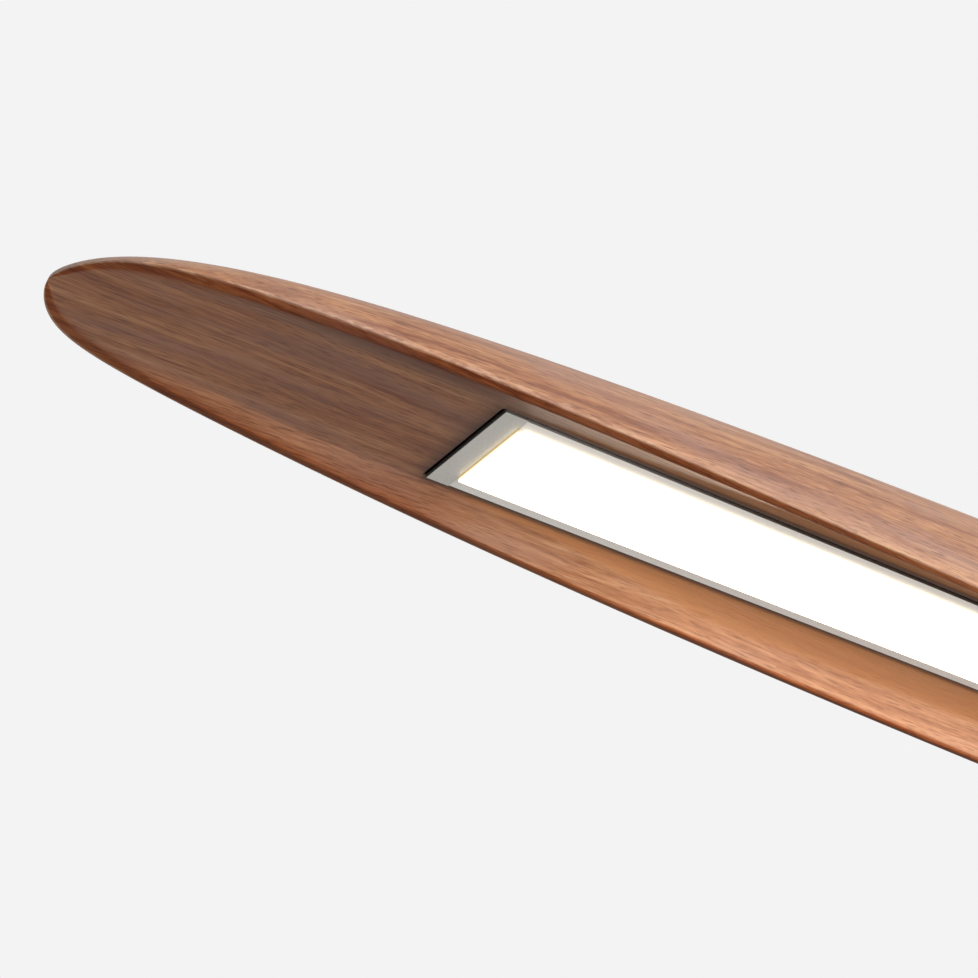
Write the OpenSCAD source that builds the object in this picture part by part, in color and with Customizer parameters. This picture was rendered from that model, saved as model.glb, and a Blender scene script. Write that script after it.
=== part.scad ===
// Beam chandelier: a hollowed walnut beam with a light bar let into its underside,
// hung from two wires. Lengths are millimetres. Every piece is drawn with z = 0 at the
// light bar's lower face and then lifted, so that the part's origin lies midway between
// the two wire mouths, with +X along the beam and +Z up.

/* [Beam] */
// Overall length of the beam
beam_len = 1200; // [1000:10:1500]
// Width of the beam at the middle
beam_w = 62; // [58:0.2:72]
// Height of the crown above the light face at the middle
crown_h = 38.4; // [36:0.2:46]
// Depth of the rim below the light face at the middle
rim_drop = 15; // [10:0.5:20]
// Distance from each tip at which the rim line crosses the light face
rim_run = 52; // [35:1:60]
// Height above the light face at which the rim levels out towards the tips
tip_rise = 0.5; // [0.2:0.1:1.2]
// Sharpness of the outer section at the tips, 1 is a half ellipse
tip_edge = 2.6; // [1:0.1:3.4]
// Distance from the tips over which the outer section turns into a half ellipse
tip_fade = 14; // [8:1:30]
// Fullness of the plan along the beam, larger is fuller
plan_full = 4.8; // [4.4:0.1:8]
// Squareness of the plan's shoulders, larger is squarer
plan_round = 3.4; // [2.6:0.1:3.6]
// Squareness of the plan at the very tips, 2 is round
plan_tip = 2.2; // [2:0.1:3]
// Distance from the tips over which the plan turns round
plan_run = 6; // [3:0.5:12]
// Width of the lip at the middle
lip_mid = 1.8; // [1.5:0.1:3]
// Width of the lip at the tips
lip_tip = 2.8; // [2.4:0.1:5]
// Slope of the lip, whose inner edge lies lower than its outer edge
lip_slope = 0.2; // [0.1:0.02:0.3]
// Height of the trough floor above the light face
floor_h = 0.5; // [0.3:0.1:1.5]
// Half width of the flat trough floor
floor_half = 16.6; // [16.4:0.1:19]
// Width of the sloping shelf on each side of the trough floor
shelf_w = 7.2; // [6:0.1:8]
// Slope of the shelf down towards the wall of the trough
shelf_slope = 0.42; // [0.3:0.02:0.5]
// Distance from the groove's end over which the shelf widens to its full width
shelf_run = 100; // [60:5:160]

/* [Light bar] */
// Length of plain beam between each tip and the light bar
tip_len = 99; // [90:0.5:140]
// Width of the end caps, the widest part of the bar
bar_w = 30; // [28:0.5:31]
// Height of the bar from its lower face to its back
bar_h = 12; // [11:0.5:13]
// Thickness of the flange that shows
flange_t = 0.9; // [0.8:0.1:1.1]
// Width of the flange that shows on each side of the diffuser
rail_w = 3.8; // [3.4:0.1:4.4]
// Length of each end cap along the beam
cap_len = 5.8; // [5:0.1:8]
// Step from the end cap in to the flange
cap_step = 0.3; // [0.2:0.1:0.5]
// Thickness of the channel's side walls
wall_t = 1.2; // [1:0.1:1.4]
// Thickness of the channel's back
back_t = 1.8; // [1.6:0.1:2.2]
// How far the diffuser stands below the flange
diffuser_proud = 1.1; // [0.3:0.1:1.3]
// Thickness of the diffuser
diffuser_t = 1.6; // [1.4:0.1:2]
// How far the end cap's block stands back from the end of its plate
cap_inset = 1.6; // [1:0.1:2.5]
// Gap between the bar and the groove along its sides
groove_gap = 0.9; // [0.6:0.1:1.2]
// Gap between the bar and the groove at its ends
end_gap = 0.8; // [0.6:0.1:2]
// Depth of the groove's wide mouth above the light face
mouth_h = 3; // [2:0.5:4]
// Gap between the channel and the slot above the mouth
slot_gap = 1; // [0.9:0.1:1.3]

/* [Light source] */
// Width of the circuit board
board_w = 18; // [16:0.5:19]
// Thickness of the circuit board
board_t = 1; // [0.8:0.1:1.2]
// Distance between light-emitting chips
chip_pitch = 16; // [14:1:24]
// Length of a chip along the beam
chip_l = 2.8; // [2.4:0.1:3.5]
// Width of a chip across the beam
chip_w = 3.5; // [2.8:0.1:5]
// Height of a chip
chip_h = 0.7; // [0.5:0.1:0.9]

/* [Suspension] */
// Distance between the two suspension wires
hang_span = 600; // [560:10:760]
// Diameter of the bore that takes the wire
wire_bore = 1.8; // [1.6:0.1:2]
// Diameter of the gripper sleeve
sleeve_d = 11; // [10.6:0.2:13]
// Height of the gripper sleeve
sleeve_h = 22; // [21:0.5:28]
// Diameter of the gripper base
base_d = 14; // [13.5:0.5:17]
// Height of the gripper base's flange
base_h = 3; // [2.5:0.5:4]
// Depth of the flat seat cut into the crown under the base
seat_cut = 1.8; // [1.6:0.1:2.4]
// Diameter of the release plunger
nose_d = 4.9; // [4.8:0.1:5.1]
// Height of the release plunger above the sleeve
nose_h = 5; // [4.5:0.5:7]
// Travel of the release plunger
press_travel = 2.5; // [2:0.1:3]
// Diameter of a gripping ball
ball_d = 2.2; // [2.1:0.1:2.3]
// Diameter left between the closed balls
grip_d = 1.5; // [1.4:0.1:1.6]
// Thread diameter of the base's stud
stud_d = 6; // [5.5:0.5:6.5]
// Diameter of the threaded insert in the wood
insert_d = 9.5; // [9:0.5:11]
// Length of the threaded insert
insert_h = 12; // [10:0.5:13]

/* [Cord inlet] */
// Diameter of the bore that takes the supply cord
cord_bore = 6.2; // [5.6:0.2:6.6]
// Thread diameter of the gland
gland_d = 10; // [9.6:0.2:11]
// Width of the gland's six-sided collar over its corners
collar_d = 16.4; // [16:0.2:18]
// Height of the gland's collar
collar_h = 3; // [2.5:0.5:4]
// Height of the gland nut
nut_h = 11; // [10.5:0.5:13]
// Depth of the flat seat cut into the crown under the collar
gland_cut = 2.4; // [2.2:0.1:3]

/* [Wiring] */
// Length of the terminal pocket
pocket_l = 82; // [80:1:100]
// Width of the terminal pocket
pocket_w = 22; // [21:0.5:24]
// Depth of the terminal pocket above the slot
pocket_d = 13; // [12:0.5:13.5]
// Length of the terminal block along the beam
term_l = 21; // [18:0.5:24]
// Width of the terminal block
term_w = 16; // [15:0.5:18]
// Height of the terminal block
term_h = 10.5; // [9.5:0.5:11]
// Diameter of an insulated lead
lead_d = 1.5; // [1.2:0.1:1.6]

/* [Fasteners] */
// Diameter of the end cap screws
cap_screw_d = 2.2; // [2:0.1:2.4]
// Length of the end cap screws under the head
cap_screw_l = 12; // [10:0.5:16]
// Diameter of the clip screws
clip_screw_d = 3; // [2.8:0.1:3.2]
// Length of the clip screws
clip_screw_l = 9; // [7:0.5:10]
// Thickness of the clip strip
clip_t = 0.7; // [0.6:0.1:0.7]
// Width of a clip along the beam
clip_w = 14; // [12:0.5:18]

/* [Hidden] */
$fn = 48;
// Clearances: turned parts, moulded parts and pieces that only lie together
run_gap = 0.1;
mould_gap = 0.15;
touch = 0.02;
// How far a cut runs past the face that it opens
over = 1;
// Height of the cuts that open upward out of the crown
clear_h = 20;

// Beam
half_len = beam_len / 2;
run_u = 1 - rim_run / half_len;
rim_slope = rim_drop / (run_u * run_u);
rim_soft = 1.8;
stations = 33;
arc_steps = 24;
cove_steps = 6;
flat_share = 0.75;
least_trough = 0.5;
least_shelf = 0.15;
most_shelf = 0.7;
fillet_share = 0.04;
least_fade = 0.05;
fade_from = 12;
fade_to = 45;

// Light bar
bar_len = beam_len - 2 * tip_len;
channel_len = bar_len - 2 * cap_len;
flange_half = bar_w / 2 - cap_step;
mouth_half = bar_w / 2 - rail_w + run_gap;
body_half = mouth_half + wall_t;
slot_half = body_half + slot_gap;
groove_half = bar_w / 2 + groove_gap;
groove_end = bar_len / 2 + end_gap;
block_end = bar_len / 2 - cap_inset;
clip_base_t = clip_t + 0.1;
slot_top = bar_h + 0.2 + clip_base_t;
back_z = bar_h - back_t;
boss_r = 1.9;
boss_y = mouth_half - 1.5;
boss_z = back_z - board_t - 0.3 - boss_r;
catch_z = 2.6;
catch_h = 1.3;
catch_in = 0.5;
nib_z = bar_h - 4.4;
nib_h = 1.2;
nib_in = 0.4;

// Light source
board_z = back_z - board_t;
chip_z = board_z - chip_h;
board_len = channel_len - 12;
chip_pairs = floor((board_len / 2 - 6) / chip_pitch);
lead_x = chip_pitch * 4;
lead_hole_r = 3.6;

// Suspension, heights counted from the seat on the crown
hang_x = hang_span / 2;
sleeve_r = sleeve_d / 2;
chamber_r = sleeve_r - 1.6;
nose_r = nose_d / 2;
nose_hole_r = nose_r + run_gap;
taper_top_r = nose_r + 0.3;
sleeve_top = base_h + sleeve_h;
roof_t = 4;
taper_h = 6;
taper_z = sleeve_top - roof_t - taper_h;
taper_rate = (chamber_r - taper_top_r) / taper_h;
spigot_h = 3;
spring_z = base_h + spigot_h;
collar_t = 1.5;
ball_r = ball_d / 2;
ball_c = grip_d / 2 + ball_r;
ball_wall_r = ball_c + (ball_r + 0.05) * sqrt(1 + taper_rate * taper_rate);
ball_z = taper_z + (chamber_r - ball_wall_r) / taper_rate;
spring_wire_r = 0.3;
spring_turns = 4;
pressed_gap = 0.2;
spring_h = press_travel + 2 * spring_turns * spring_wire_r + pressed_gap;
spring_mean_r = nose_r;
nose_top = sleeve_top + nose_h;
stud_l = insert_h - 2;
tail_r = wire_bore / 2 + 0.3;
tail_hole_d = 4;
seat_room = 0.6;

// Cord inlet
gland_seat = crown_h - gland_cut;
pocket_top = slot_top + pocket_d;
gland_thread_l = gland_seat - pocket_top - 0.5;
seal_r = cord_bore / 2 + 1.4;
seal_h = 5;
stub_r = seal_r + 1.1;
stub_h = 6.5;
nut_r = stub_r + 1.9;
collar_room = 0.8;

// Wiring
pocket_x0 = -gland_d;
pocket_x1 = pocket_x0 + pocket_l;
term_x = 29;
term_z = pocket_top - term_h;
term_pole = 8;
clamp_x = 5.5;
clamp_z = pocket_top - 4.5;
clamp_d = 3.2;
wire_way_d = 3;
block_screw_d = 2.6;
block_head_r = 2.5;
block_head_z = 2;
block_screw_l = term_h + 3;
grommet_r = lead_hole_r + 0.6;
lead_y = 1.6;

// Fasteners
clip_xs = [for (s = [-1, 1], k = [0.44, 0.88]) s * k * bar_len / 2];
cap_head_r = cap_screw_d / 2 + 0.9;
cap_head_h = 1.5;
clip_head_r = clip_screw_d / 2 + 1.7;
clip_head_h = clip_head_r - clip_screw_d / 2;

function square_at(u) = plan_round - (plan_round - plan_tip) * exp(-half_len * (1 - u) / plan_run);
function plan_at(u) = beam_w / 2 * pow(max(0, 1 - pow(u, plan_full)), 1 / square_at(u));
function rim_raw(u) = rim_drop - rim_slope * u * u;
function soften(d) = (d + sqrt(d * d + rim_soft * rim_soft)) / 2;
function rim_at(u) = soften(rim_raw(u) + tip_rise) - tip_rise;
function crown_at(u) = -rim_at(1) + (crown_h + rim_at(1)) * sqrt(max(0, 1 - u * u));
function edge_at(u) = 1 + (tip_edge - 1) * exp(-half_len * (1 - u) / tip_fade);
function lip_at(u) = lip_mid + (lip_tip - lip_mid) * pow(u, 4);
function ease(t) = t <= 0 ? 0 : t >= 1 ? 1 : t * t * (3 - 2 * t);
function fade_at(u) = max(least_fade, ease((half_len * (1 - u) - fade_from) / (fade_to - fade_from)));
function trough_at(u) = max(plan_at(u) - lip_at(u), least_trough * plan_at(u));
function lip_low(u) = rim_at(u) + lip_slope * (plan_at(u) - trough_at(u)) * fade_at(u);
function flat_at(u) = min(floor_half, flat_share * trough_at(u));
function floor_at(u) = -rim_at(u) + (floor_h + rim_at(u)) * fade_at(u);

end_x = half_len - 0.3;
end_mid = (crown_at(end_x / half_len) - rim_at(end_x / half_len)) / 2;
hang_seat = crown_at(hang_x / half_len) - seat_cut;
face_z = -(hang_seat + nose_top);

// Share of the trough's side that the shelf takes, small beyond the groove's end
function shelf_share(u) =
  let (
    side = trough_at(u) - flat_at(u),
    full = min(shelf_w / max(side, touch), most_shelf)
  ) max(least_shelf, full * ease((groove_end - half_len * u) / shelf_run));

// The lower of two heights, with a fillet between them
function filleted(a, b, r) = (a + b) / 2 - sqrt(pow((a - b) / 2, 2) + r * r);

// Points of one side of the trough: the wall from the lip up to the shelf, then the shelf in to the floor
function cove(u) =
  let (
    side = trough_at(u) - flat_at(u),
    share = shelf_share(u),
    fall = floor_at(u) + lip_low(u),
    drop = min(shelf_slope * side, fall) * share,
    r = fillet_share * fall
  ) [
    for (i = [0 : cove_steps])
      let (
        t = i / cove_steps * 2,
        k = t <= 1 ? 1 - (1 - share) * t : share * (2 - t),
        shelf_z = floor_at(u) - drop * k / share,
        wall_z = -lip_low(u) + (fall - drop) * (1 - k) / (1 - share)
      ) [flat_at(u) + side * k, i == 0 ? -lip_low(u) : filleted(shelf_z, wall_z, r)]
  ];

// One cross-section of the beam, round the crown and back along the trough
function section(x) =
  let (
    u = abs(x) / half_len,
    a = plan_at(u),
    r = rim_at(u),
    e = edge_at(u),
    side = cove(u)
  ) [
    for (i = [0 : arc_steps])
      let (t = 180 * i / arc_steps) [x, a * cos(t), -r + (crown_at(u) + r) * pow(sin(t), e)],
    for (i = [0 : cove_steps]) [x, -side[i][0], side[i][1]],
    for (i = [cove_steps : -1 : 0]) [x, side[i][0], side[i][1]]
  ];

// Closed skin over a row of sections, each end closed by a fan to its middle point
module skin(rows, low_mid, high_mid) {
  n = len(rows[0]);
  last = len(rows) - 1;
  total = n * (last + 1);
  polyhedron(
    points = concat([for (row = rows) each row], [low_mid, high_mid]),
    faces = [
      for (i = [0 : last - 1], j = [0 : n - 1])
        let (k = (j + 1) % n) each [
          [i * n + j, (i + 1) * n + k, i * n + k],
          [i * n + j, (i + 1) * n + j, (i + 1) * n + k]
        ],
      for (j = [0 : n - 1])
        let (k = (j + 1) % n) each [[j, k, total], [last * n + k, last * n + j, total + 1]]
    ],
    convexity = 8
  );
}

// Round tube along a list of points, its sections square to the path
module tube(path, r, sides) {
  last = len(path) - 1;
  rows = [
    for (i = [0 : last])
      let (
        a = path[max(i - 1, 0)],
        b = path[min(i + 1, last)],
        t = (b - a) / norm(b - a),
        ref = abs(t[1]) < 0.9 ? [0, 1, 0] : [1, 0, 0],
        v = cross(t, ref) / norm(cross(t, ref)),
        w = cross(t, v)
      ) [for (j = [0 : sides - 1]) path[i] + r * (v * cos(360 * j / sides) + w * sin(360 * j / sides))]
  ];
  skin(rows, path[0], path[last]);
}

module box_from(low, high) {
  translate(low)
    cube(high - low);
}

module lift() {
  translate([0, 0, face_z])
    children();
}

module at_hang(side) {
  translate([side * hang_x, 0, hang_seat])
    children();
}

module along_beam(length) {
  rotate([90, 0, 90])
    linear_extrude(height = length, center = true)
      children();
}

// Beam body: outer canoe form, trough, stepped groove for the bar, seats and bores
module beam_body() {
  color([0.62, 0.42, 0.3])
    difference() {
      skin(
        [for (i = [-stations : stations]) section(end_x * sin(90 * i / stations))],
        [-end_x, 0, end_mid], [end_x, 0, end_mid]
      );
      box_from([-groove_end, -groove_half, -rim_drop], [groove_end, groove_half, mouth_h]);
      box_from([-groove_end, -slot_half, mouth_h - over], [groove_end, slot_half, slot_top]);
      box_from([pocket_x0, -pocket_w / 2, slot_top - over], [pocket_x1, pocket_w / 2, pocket_top]);
      for (side = [-1, 1])
        at_hang(side) {
          cylinder(d = base_d + seat_room, h = clear_h);
          translate([0, 0, -insert_h - touch])
            cylinder(d = insert_d, h = insert_h + over);
          translate([0, 0, slot_top - hang_seat - over])
            cylinder(d = tail_hole_d, h = hang_seat - slot_top);
        }
      translate([0, 0, gland_seat])
        cylinder(d = collar_d + collar_room, h = clear_h);
      translate([0, 0, pocket_top - over])
        cylinder(d = gland_d, h = gland_seat - pocket_top + 2 * over);
      for (x = clip_xs)
        translate([x, 0, 0])
          clip_screw_form(touch);
      block_screw_hole(term_z + block_head_z + block_screw_l);
    }
}

// Extruded channel with its flange, catches for the diffuser and screw ports
module channel_section() {
  difference() {
    union() {
      translate([-flange_half, 0])
        square([2 * flange_half, flange_t]);
      translate([-body_half, 0])
        square([2 * body_half, bar_h]);
    }
    difference() {
      translate([-mouth_half, -over])
        square([2 * mouth_half, back_z + over]);
      for (s = [-1, 1])
        translate([s * boss_y, boss_z])
          circle(r = boss_r);
    }
    for (s = [-1, 1]) {
      translate([s * boss_y, boss_z])
        circle(d = cap_screw_d + 2 * touch);
      translate([s * mouth_half - catch_in, catch_z])
        square([2 * catch_in, catch_h]);
      translate([s * body_half - nib_in - 0.1, nib_z])
        square([2 * nib_in + 0.2, nib_h]);
    }
  }
}

module light_channel() {
  color([0.83, 0.82, 0.8])
    difference() {
      along_beam(channel_len)
        channel_section();
      translate([lead_x, 0, back_z - over])
        cylinder(r = grommet_r, h = back_t + 2 * over);
    }
}

// Opal cover: a plate with two legs whose barbs catch in the channel
module diffuser_section() {
  half = mouth_half - run_gap;
  low = -diffuser_proud;
  right = [
    [half - 0.4, low], [half - 0.1, low + 0.1], [half, low + 0.4], [half, catch_z + 0.1],
    [half + 0.4, catch_z + 0.1], [half + 0.4, catch_z + 0.5], [half, catch_z + 1.1],
    [half - 0.1, catch_z + 1.4], [half - 1, catch_z + 1.4], [half - 1, low + diffuser_t]
  ];
  polygon(concat(right, [for (i = [len(right) - 1 : -1 : 0]) [-right[i][0], right[i][1]]]));
}

module diffuser() {
  color([0.98, 0.97, 0.93])
    along_beam(channel_len - 2 * touch)
      diffuser_section();
}

// End cap: a face plate, a block set back behind it and a tongue that enters the channel
module end_cap(side) {
  color([0.74, 0.73, 0.71])
    mirror([side < 0 ? 1 : 0, 0, 0])
      difference() {
        union() {
          box_from([channel_len / 2 + touch, -bar_w / 2, 0], [bar_len / 2, bar_w / 2, flange_t]);
          box_from([channel_len / 2 + touch, -body_half, 0], [block_end, body_half, bar_h]);
          box_from(
            [channel_len / 2 - 5, -boss_y + boss_r + mould_gap, catch_z + 2],
            [channel_len / 2 + 1, boss_y - boss_r - mould_gap, chip_z - 0.3]
          );
        }
        for (s = [-1, 1])
          translate([block_end - cap_head_h, s * boss_y, boss_z])
            rotate([0, 90, 0]) {
              translate([0, 0, -cap_len])
                cylinder(d = cap_screw_d + 2 * touch, h = cap_len + over);
              cylinder(r = cap_head_r + run_gap, h = cap_head_h + over);
            }
      }
}

module end_cap_left() {
  end_cap(-1);
}

module end_cap_right() {
  end_cap(1);
}

module slotted_head(r, h, slot) {
  difference() {
    cylinder(r = r, h = h);
    translate([-r - 1, -slot / 2, h - 0.45 * h])
      cube([2 * r + 2, slot, h]);
  }
}

// Two screws in each end cap
module end_cap_screws() {
  color([0.7, 0.7, 0.72])
    for (side = [0, 180], s = [-1, 1])
      rotate([0, 0, side])
        translate([block_end - cap_head_h, s * boss_y, boss_z])
          rotate([0, 90, 0]) {
            slotted_head(cap_head_r, cap_head_h - run_gap, 0.5);
            translate([0, 0, -cap_screw_l])
              cylinder(d = cap_screw_d, h = cap_screw_l);
          }
}

// Circuit board along the channel's back, with a hole for the leads
module led_board() {
  color([0.93, 0.93, 0.9])
    difference() {
      box_from([-board_len / 2, -board_w / 2, board_z], [board_len / 2, board_w / 2, back_z]);
      translate([lead_x, 0, board_z - over])
        cylinder(r = lead_hole_r, h = board_t + 2 * over);
    }
}

// A row of chips on each side of the middle, half a pitch off the lead hole
module led_chips() {
  color([0.95, 0.82, 0.4])
    for (k = [-chip_pairs : chip_pairs - 1])
      translate([(k + 0.5) * chip_pitch, 0, chip_z + chip_h / 2])
        cube([chip_l, chip_w, chip_h], center = true);
}

// Spring clip: a strip folded down on both sides of the channel, with inward nibs
module clip_section() {
  top = slot_top - touch;
  leg = body_half + 0.15;
  translate([-leg - clip_t, top - clip_base_t])
    square([2 * leg + 2 * clip_t, clip_base_t]);
  for (s = [0, 1])
    mirror([s, 0])
      translate([leg, nib_z - 1])
        square([clip_t, top - nib_z + 1]);
  for (s = [0, 1])
    mirror([s, 0])
      translate([body_half - nib_in + 0.1, nib_z + 0.2])
        square([nib_in + 0.3, nib_h - 0.4]);
}

// A countersunk screw on end, its head down in the clip
module clip_screw_form(gap) {
  low = slot_top - clip_base_t;
  translate([0, 0, low])
    cylinder(r1 = clip_head_r + gap, r2 = clip_screw_d / 2 + gap, h = clip_head_h);
  translate([0, 0, low])
    cylinder(d = clip_screw_d + 2 * gap, h = clip_screw_l + gap);
}

module channel_clips() {
  color([0.75, 0.76, 0.78])
    for (x = clip_xs)
      translate([x, 0, 0])
        difference() {
          along_beam(clip_w)
            clip_section();
          clip_screw_form(touch);
        }
}

module clip_screws() {
  color([0.6, 0.6, 0.62])
    for (x = clip_xs)
      translate([x, 0, 0])
        difference() {
          clip_screw_form(0);
          translate([0, 0, slot_top - clip_base_t + 0.4])
            cube([0.7, 4, 1], center = true);
        }
}

// Threaded insert driven into the wood under each gripper
module insert(side) {
  color([0.8, 0.65, 0.32])
    at_hang(side)
      translate([0, 0, -insert_h])
        difference() {
          cylinder(d = insert_d - 2 * touch, h = insert_h);
          translate([0, 0, -over])
            cylinder(d = stud_d + 2 * touch, h = insert_h + 2 * over);
          for (z = [2 : 2 : insert_h - 2])
            translate([0, 0, z])
              difference() {
                cylinder(d = insert_d + 2, h = 0.6);
                translate([0, 0, -1])
                  cylinder(d = insert_d - 0.8, h = 3);
              }
        }
}

module insert_left() {
  insert(-1);
}

module insert_right() {
  insert(1);
}

// Gripper base: a stud with a passage for the wire's tail, a flange and a spigot
module gripper_base(side) {
  color([0.72, 0.71, 0.69])
    at_hang(side)
      rotate_extrude()
        polygon([
          [tail_r, -stud_l], [stud_d / 2, -stud_l], [stud_d / 2, touch], [base_d / 2 - 0.4, touch],
          [base_d / 2, 0.4], [base_d / 2, base_h - 0.6], [base_d / 2 - 0.6, base_h],
          [chamber_r - touch, base_h], [chamber_r - touch, spring_z], [tail_r, spring_z]
        ]);
}

module gripper_base_left() {
  gripper_base(-1);
}

module gripper_base_right() {
  gripper_base(1);
}

// Gripper sleeve: a barrel whose chamber narrows upward so that the balls wedge
module gripper_sleeve(side) {
  color([0.78, 0.77, 0.75])
    at_hang(side)
      rotate_extrude()
        polygon([
          [chamber_r, base_h + touch], [sleeve_r, base_h + touch], [sleeve_r, sleeve_top - 1],
          [sleeve_r - 1, sleeve_top], [nose_hole_r, sleeve_top], [nose_hole_r, sleeve_top - roof_t],
          [taper_top_r, sleeve_top - roof_t], [chamber_r, taper_z]
        ]);
}

module gripper_sleeve_left() {
  gripper_sleeve(-1);
}

module gripper_sleeve_right() {
  gripper_sleeve(1);
}

// Release plunger: a nose, a ball cage and the collar that the spring lifts
module plunger(side) {
  color([0.86, 0.85, 0.83])
    at_hang(side)
      difference() {
        rotate_extrude()
          polygon([
            [wire_bore / 2, spring_z + spring_h], [chamber_r - 0.3, spring_z + spring_h],
            [chamber_r - 0.3, spring_z + spring_h + collar_t], [nose_r, spring_z + spring_h + collar_t],
            [nose_r, nose_top - 0.5], [nose_r - 0.5, nose_top], [wire_bore / 2, nose_top]
          ]);
        for (a = [0, 120, 240])
          rotate([0, 90, a])
            translate([-ball_z, 0, 0])
              cylinder(r = ball_r + 0.1, h = nose_r + 1);
      }
}

module plunger_left() {
  plunger(-1);
}

module plunger_right() {
  plunger(1);
}

module balls(side) {
  color([0.6, 0.61, 0.63])
    at_hang(side)
      for (a = [0, 120, 240])
        rotate([0, 0, a])
          translate([ball_c, 0, ball_z])
            sphere(r = ball_r);
}

module balls_left() {
  balls(-1);
}

module balls_right() {
  balls(1);
}

// Coil spring between the base's spigot and the plunger's collar
module spring(side) {
  low = spring_z + spring_wire_r + touch;
  high = spring_z + spring_h - spring_wire_r - touch;
  steps = spring_turns * 12;
  color([0.55, 0.56, 0.6])
    at_hang(side)
      tube(
        [
          for (i = [0 : steps])
            let (a = 360 * spring_turns * i / steps)
              [spring_mean_r * cos(a), spring_mean_r * sin(a), low + (high - low) * i / steps]
        ],
        spring_wire_r, 6
      );
}

module spring_left() {
  spring(-1);
}

module spring_right() {
  spring(1);
}

// Cord gland: a threaded body with a six-sided collar, a rubber seal and a domed nut
module gland_body() {
  color([0.72, 0.71, 0.69])
    translate([0, 0, gland_seat])
      difference() {
        union() {
          translate([0, 0, touch])
            cylinder(d = collar_d, h = collar_h, $fn = 6);
          translate([0, 0, -gland_thread_l])
            cylinder(d = gland_d - 2 * touch, h = gland_thread_l + 1);
          cylinder(r = stub_r, h = collar_h + stub_h);
        }
        translate([0, 0, -gland_thread_l - over])
          cylinder(d = cord_bore + 0.6, h = gland_thread_l + clear_h);
        translate([0, 0, collar_h + stub_h - seal_h])
          cylinder(r = seal_r + touch, h = seal_h + over);
      }
}

module gland_seal() {
  color([0.1, 0.1, 0.1])
    translate([0, 0, gland_seat + collar_h + stub_h - seal_h + touch])
      difference() {
        cylinder(r = seal_r, h = seal_h + 1);
        translate([0, 0, -over])
          cylinder(d = cord_bore, h = seal_h + 3 * over);
      }
}

module gland_nut() {
  low = collar_h + 0.3;
  color([0.78, 0.77, 0.75])
    translate([0, 0, gland_seat])
      difference() {
        rotate_extrude()
          polygon([
            [stub_r + touch, low], [nut_r - 0.4, low], [nut_r, low + 0.4], [nut_r, low + 0.6 * nut_h],
            [nut_r - 0.5, low + 0.78 * nut_h], [nut_r - 1.6, low + 0.92 * nut_h],
            [nut_r - 3, low + nut_h], [cord_bore / 2 + 0.5, low + nut_h],
            [cord_bore / 2 + 0.5, collar_h + stub_h + 1.1], [stub_r + touch, collar_h + stub_h + 1.1]
          ]);
        for (a = [0 : 30 : 330])
          rotate([0, 0, a])
            translate([nut_r + 0.35, 0, low - 1])
              cylinder(r = 0.8, h = 0.6 * nut_h + 1, $fn = 24);
      }
}

// Hole for the screw that holds the terminal block, up to the given height
module block_screw_hole(top) {
  translate([term_x, 0, term_z - over])
    cylinder(d = block_screw_d + 2 * touch, h = top - term_z + over + touch);
}

// Two-pole terminal block under the pocket's roof
module terminal_block() {
  color([0.92, 0.92, 0.9])
    difference() {
      box_from(
        [term_x - term_l / 2, -term_w / 2, term_z],
        [term_x + term_l / 2, term_w / 2, pocket_top - touch]
      );
      block_screw_hole(pocket_top + over);
      for (s = [-1, 1])
        translate([term_x, s * term_pole / 2, clamp_z]) {
          rotate([0, 90, 0])
            cylinder(d = wire_way_d, h = term_l + 2 * over, center = true);
          for (x = [-clamp_x, clamp_x])
            translate([x, 0, -term_h])
              cylinder(d = clamp_d, h = term_h);
        }
      translate([term_x, 0, term_z - block_head_z])
        cylinder(r = block_head_r + run_gap, h = 2 * block_head_z);
    }
}

// Brass clamping screws in the terminal block
module terminal_screws() {
  color([0.78, 0.66, 0.36])
    for (s = [-1, 1], x = [-clamp_x, clamp_x])
      translate([term_x + x, s * term_pole / 2, clamp_z - wire_way_d / 2 - run_gap])
        rotate([180, 0, 0])
          slotted_head(clamp_d / 2 - touch, 3, 0.5);
}

// Wood screw that holds the terminal block to the pocket's roof
module block_screw() {
  color([0.6, 0.6, 0.62])
    translate([term_x, 0, term_z + block_head_z]) {
      rotate([180, 0, 0])
        slotted_head(block_head_r, 1.6, 0.6);
      cylinder(d = block_screw_d, h = block_screw_l);
    }
}

// Rubber grommet in the channel's back where the leads pass
module lead_grommet() {
  color([0.15, 0.15, 0.15])
    translate([lead_x, 0, back_z + touch])
      difference() {
        union() {
          cylinder(r = grommet_r - touch, h = back_t);
          translate([0, 0, back_t])
            cylinder(r = grommet_r + 0.8, h = 0.8);
        }
        for (s = [-1, 1])
          translate([0, s * lead_y, -over])
            cylinder(d = lead_d + 2 * run_gap, h = back_t + 3 * over);
      }
}

// Insulated leads from the terminal block through the grommet to the board
module lead(s) {
  y0 = s * term_pole / 2;
  y1 = s * lead_y;
  z0 = clamp_z;
  flat = board_z - lead_d / 2 - touch;
  x0 = term_x + term_l / 2 - 3;
  bend = 6;
  tube(
    [
      [x0, y0, z0], [x0 + 8, y0, z0], [lead_x - bend - 6, y0, z0],
      for (a = [0 : 15 : 90])
        [lead_x - bend + bend * sin(a), y0 + (y1 - y0) * a / 90, z0 - bend + bend * cos(a)],
      [lead_x, y1, back_z + back_t], [lead_x, y1, board_z + 0.4],
      for (a = [30 : 30 : 90])
        [lead_x, y1 + s * 2 * (1 - cos(a)), flat + 1.2 - 1.2 * sin(a)],
      [lead_x, s * (board_w / 2 - 1.5), flat]
    ],
    lead_d / 2, 10
  );
}

module lead_positive() {
  color([0.75, 0.12, 0.1])
    lead(1);
}

module lead_negative() {
  color([0.1, 0.1, 0.1])
    lead(-1);
}

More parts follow.
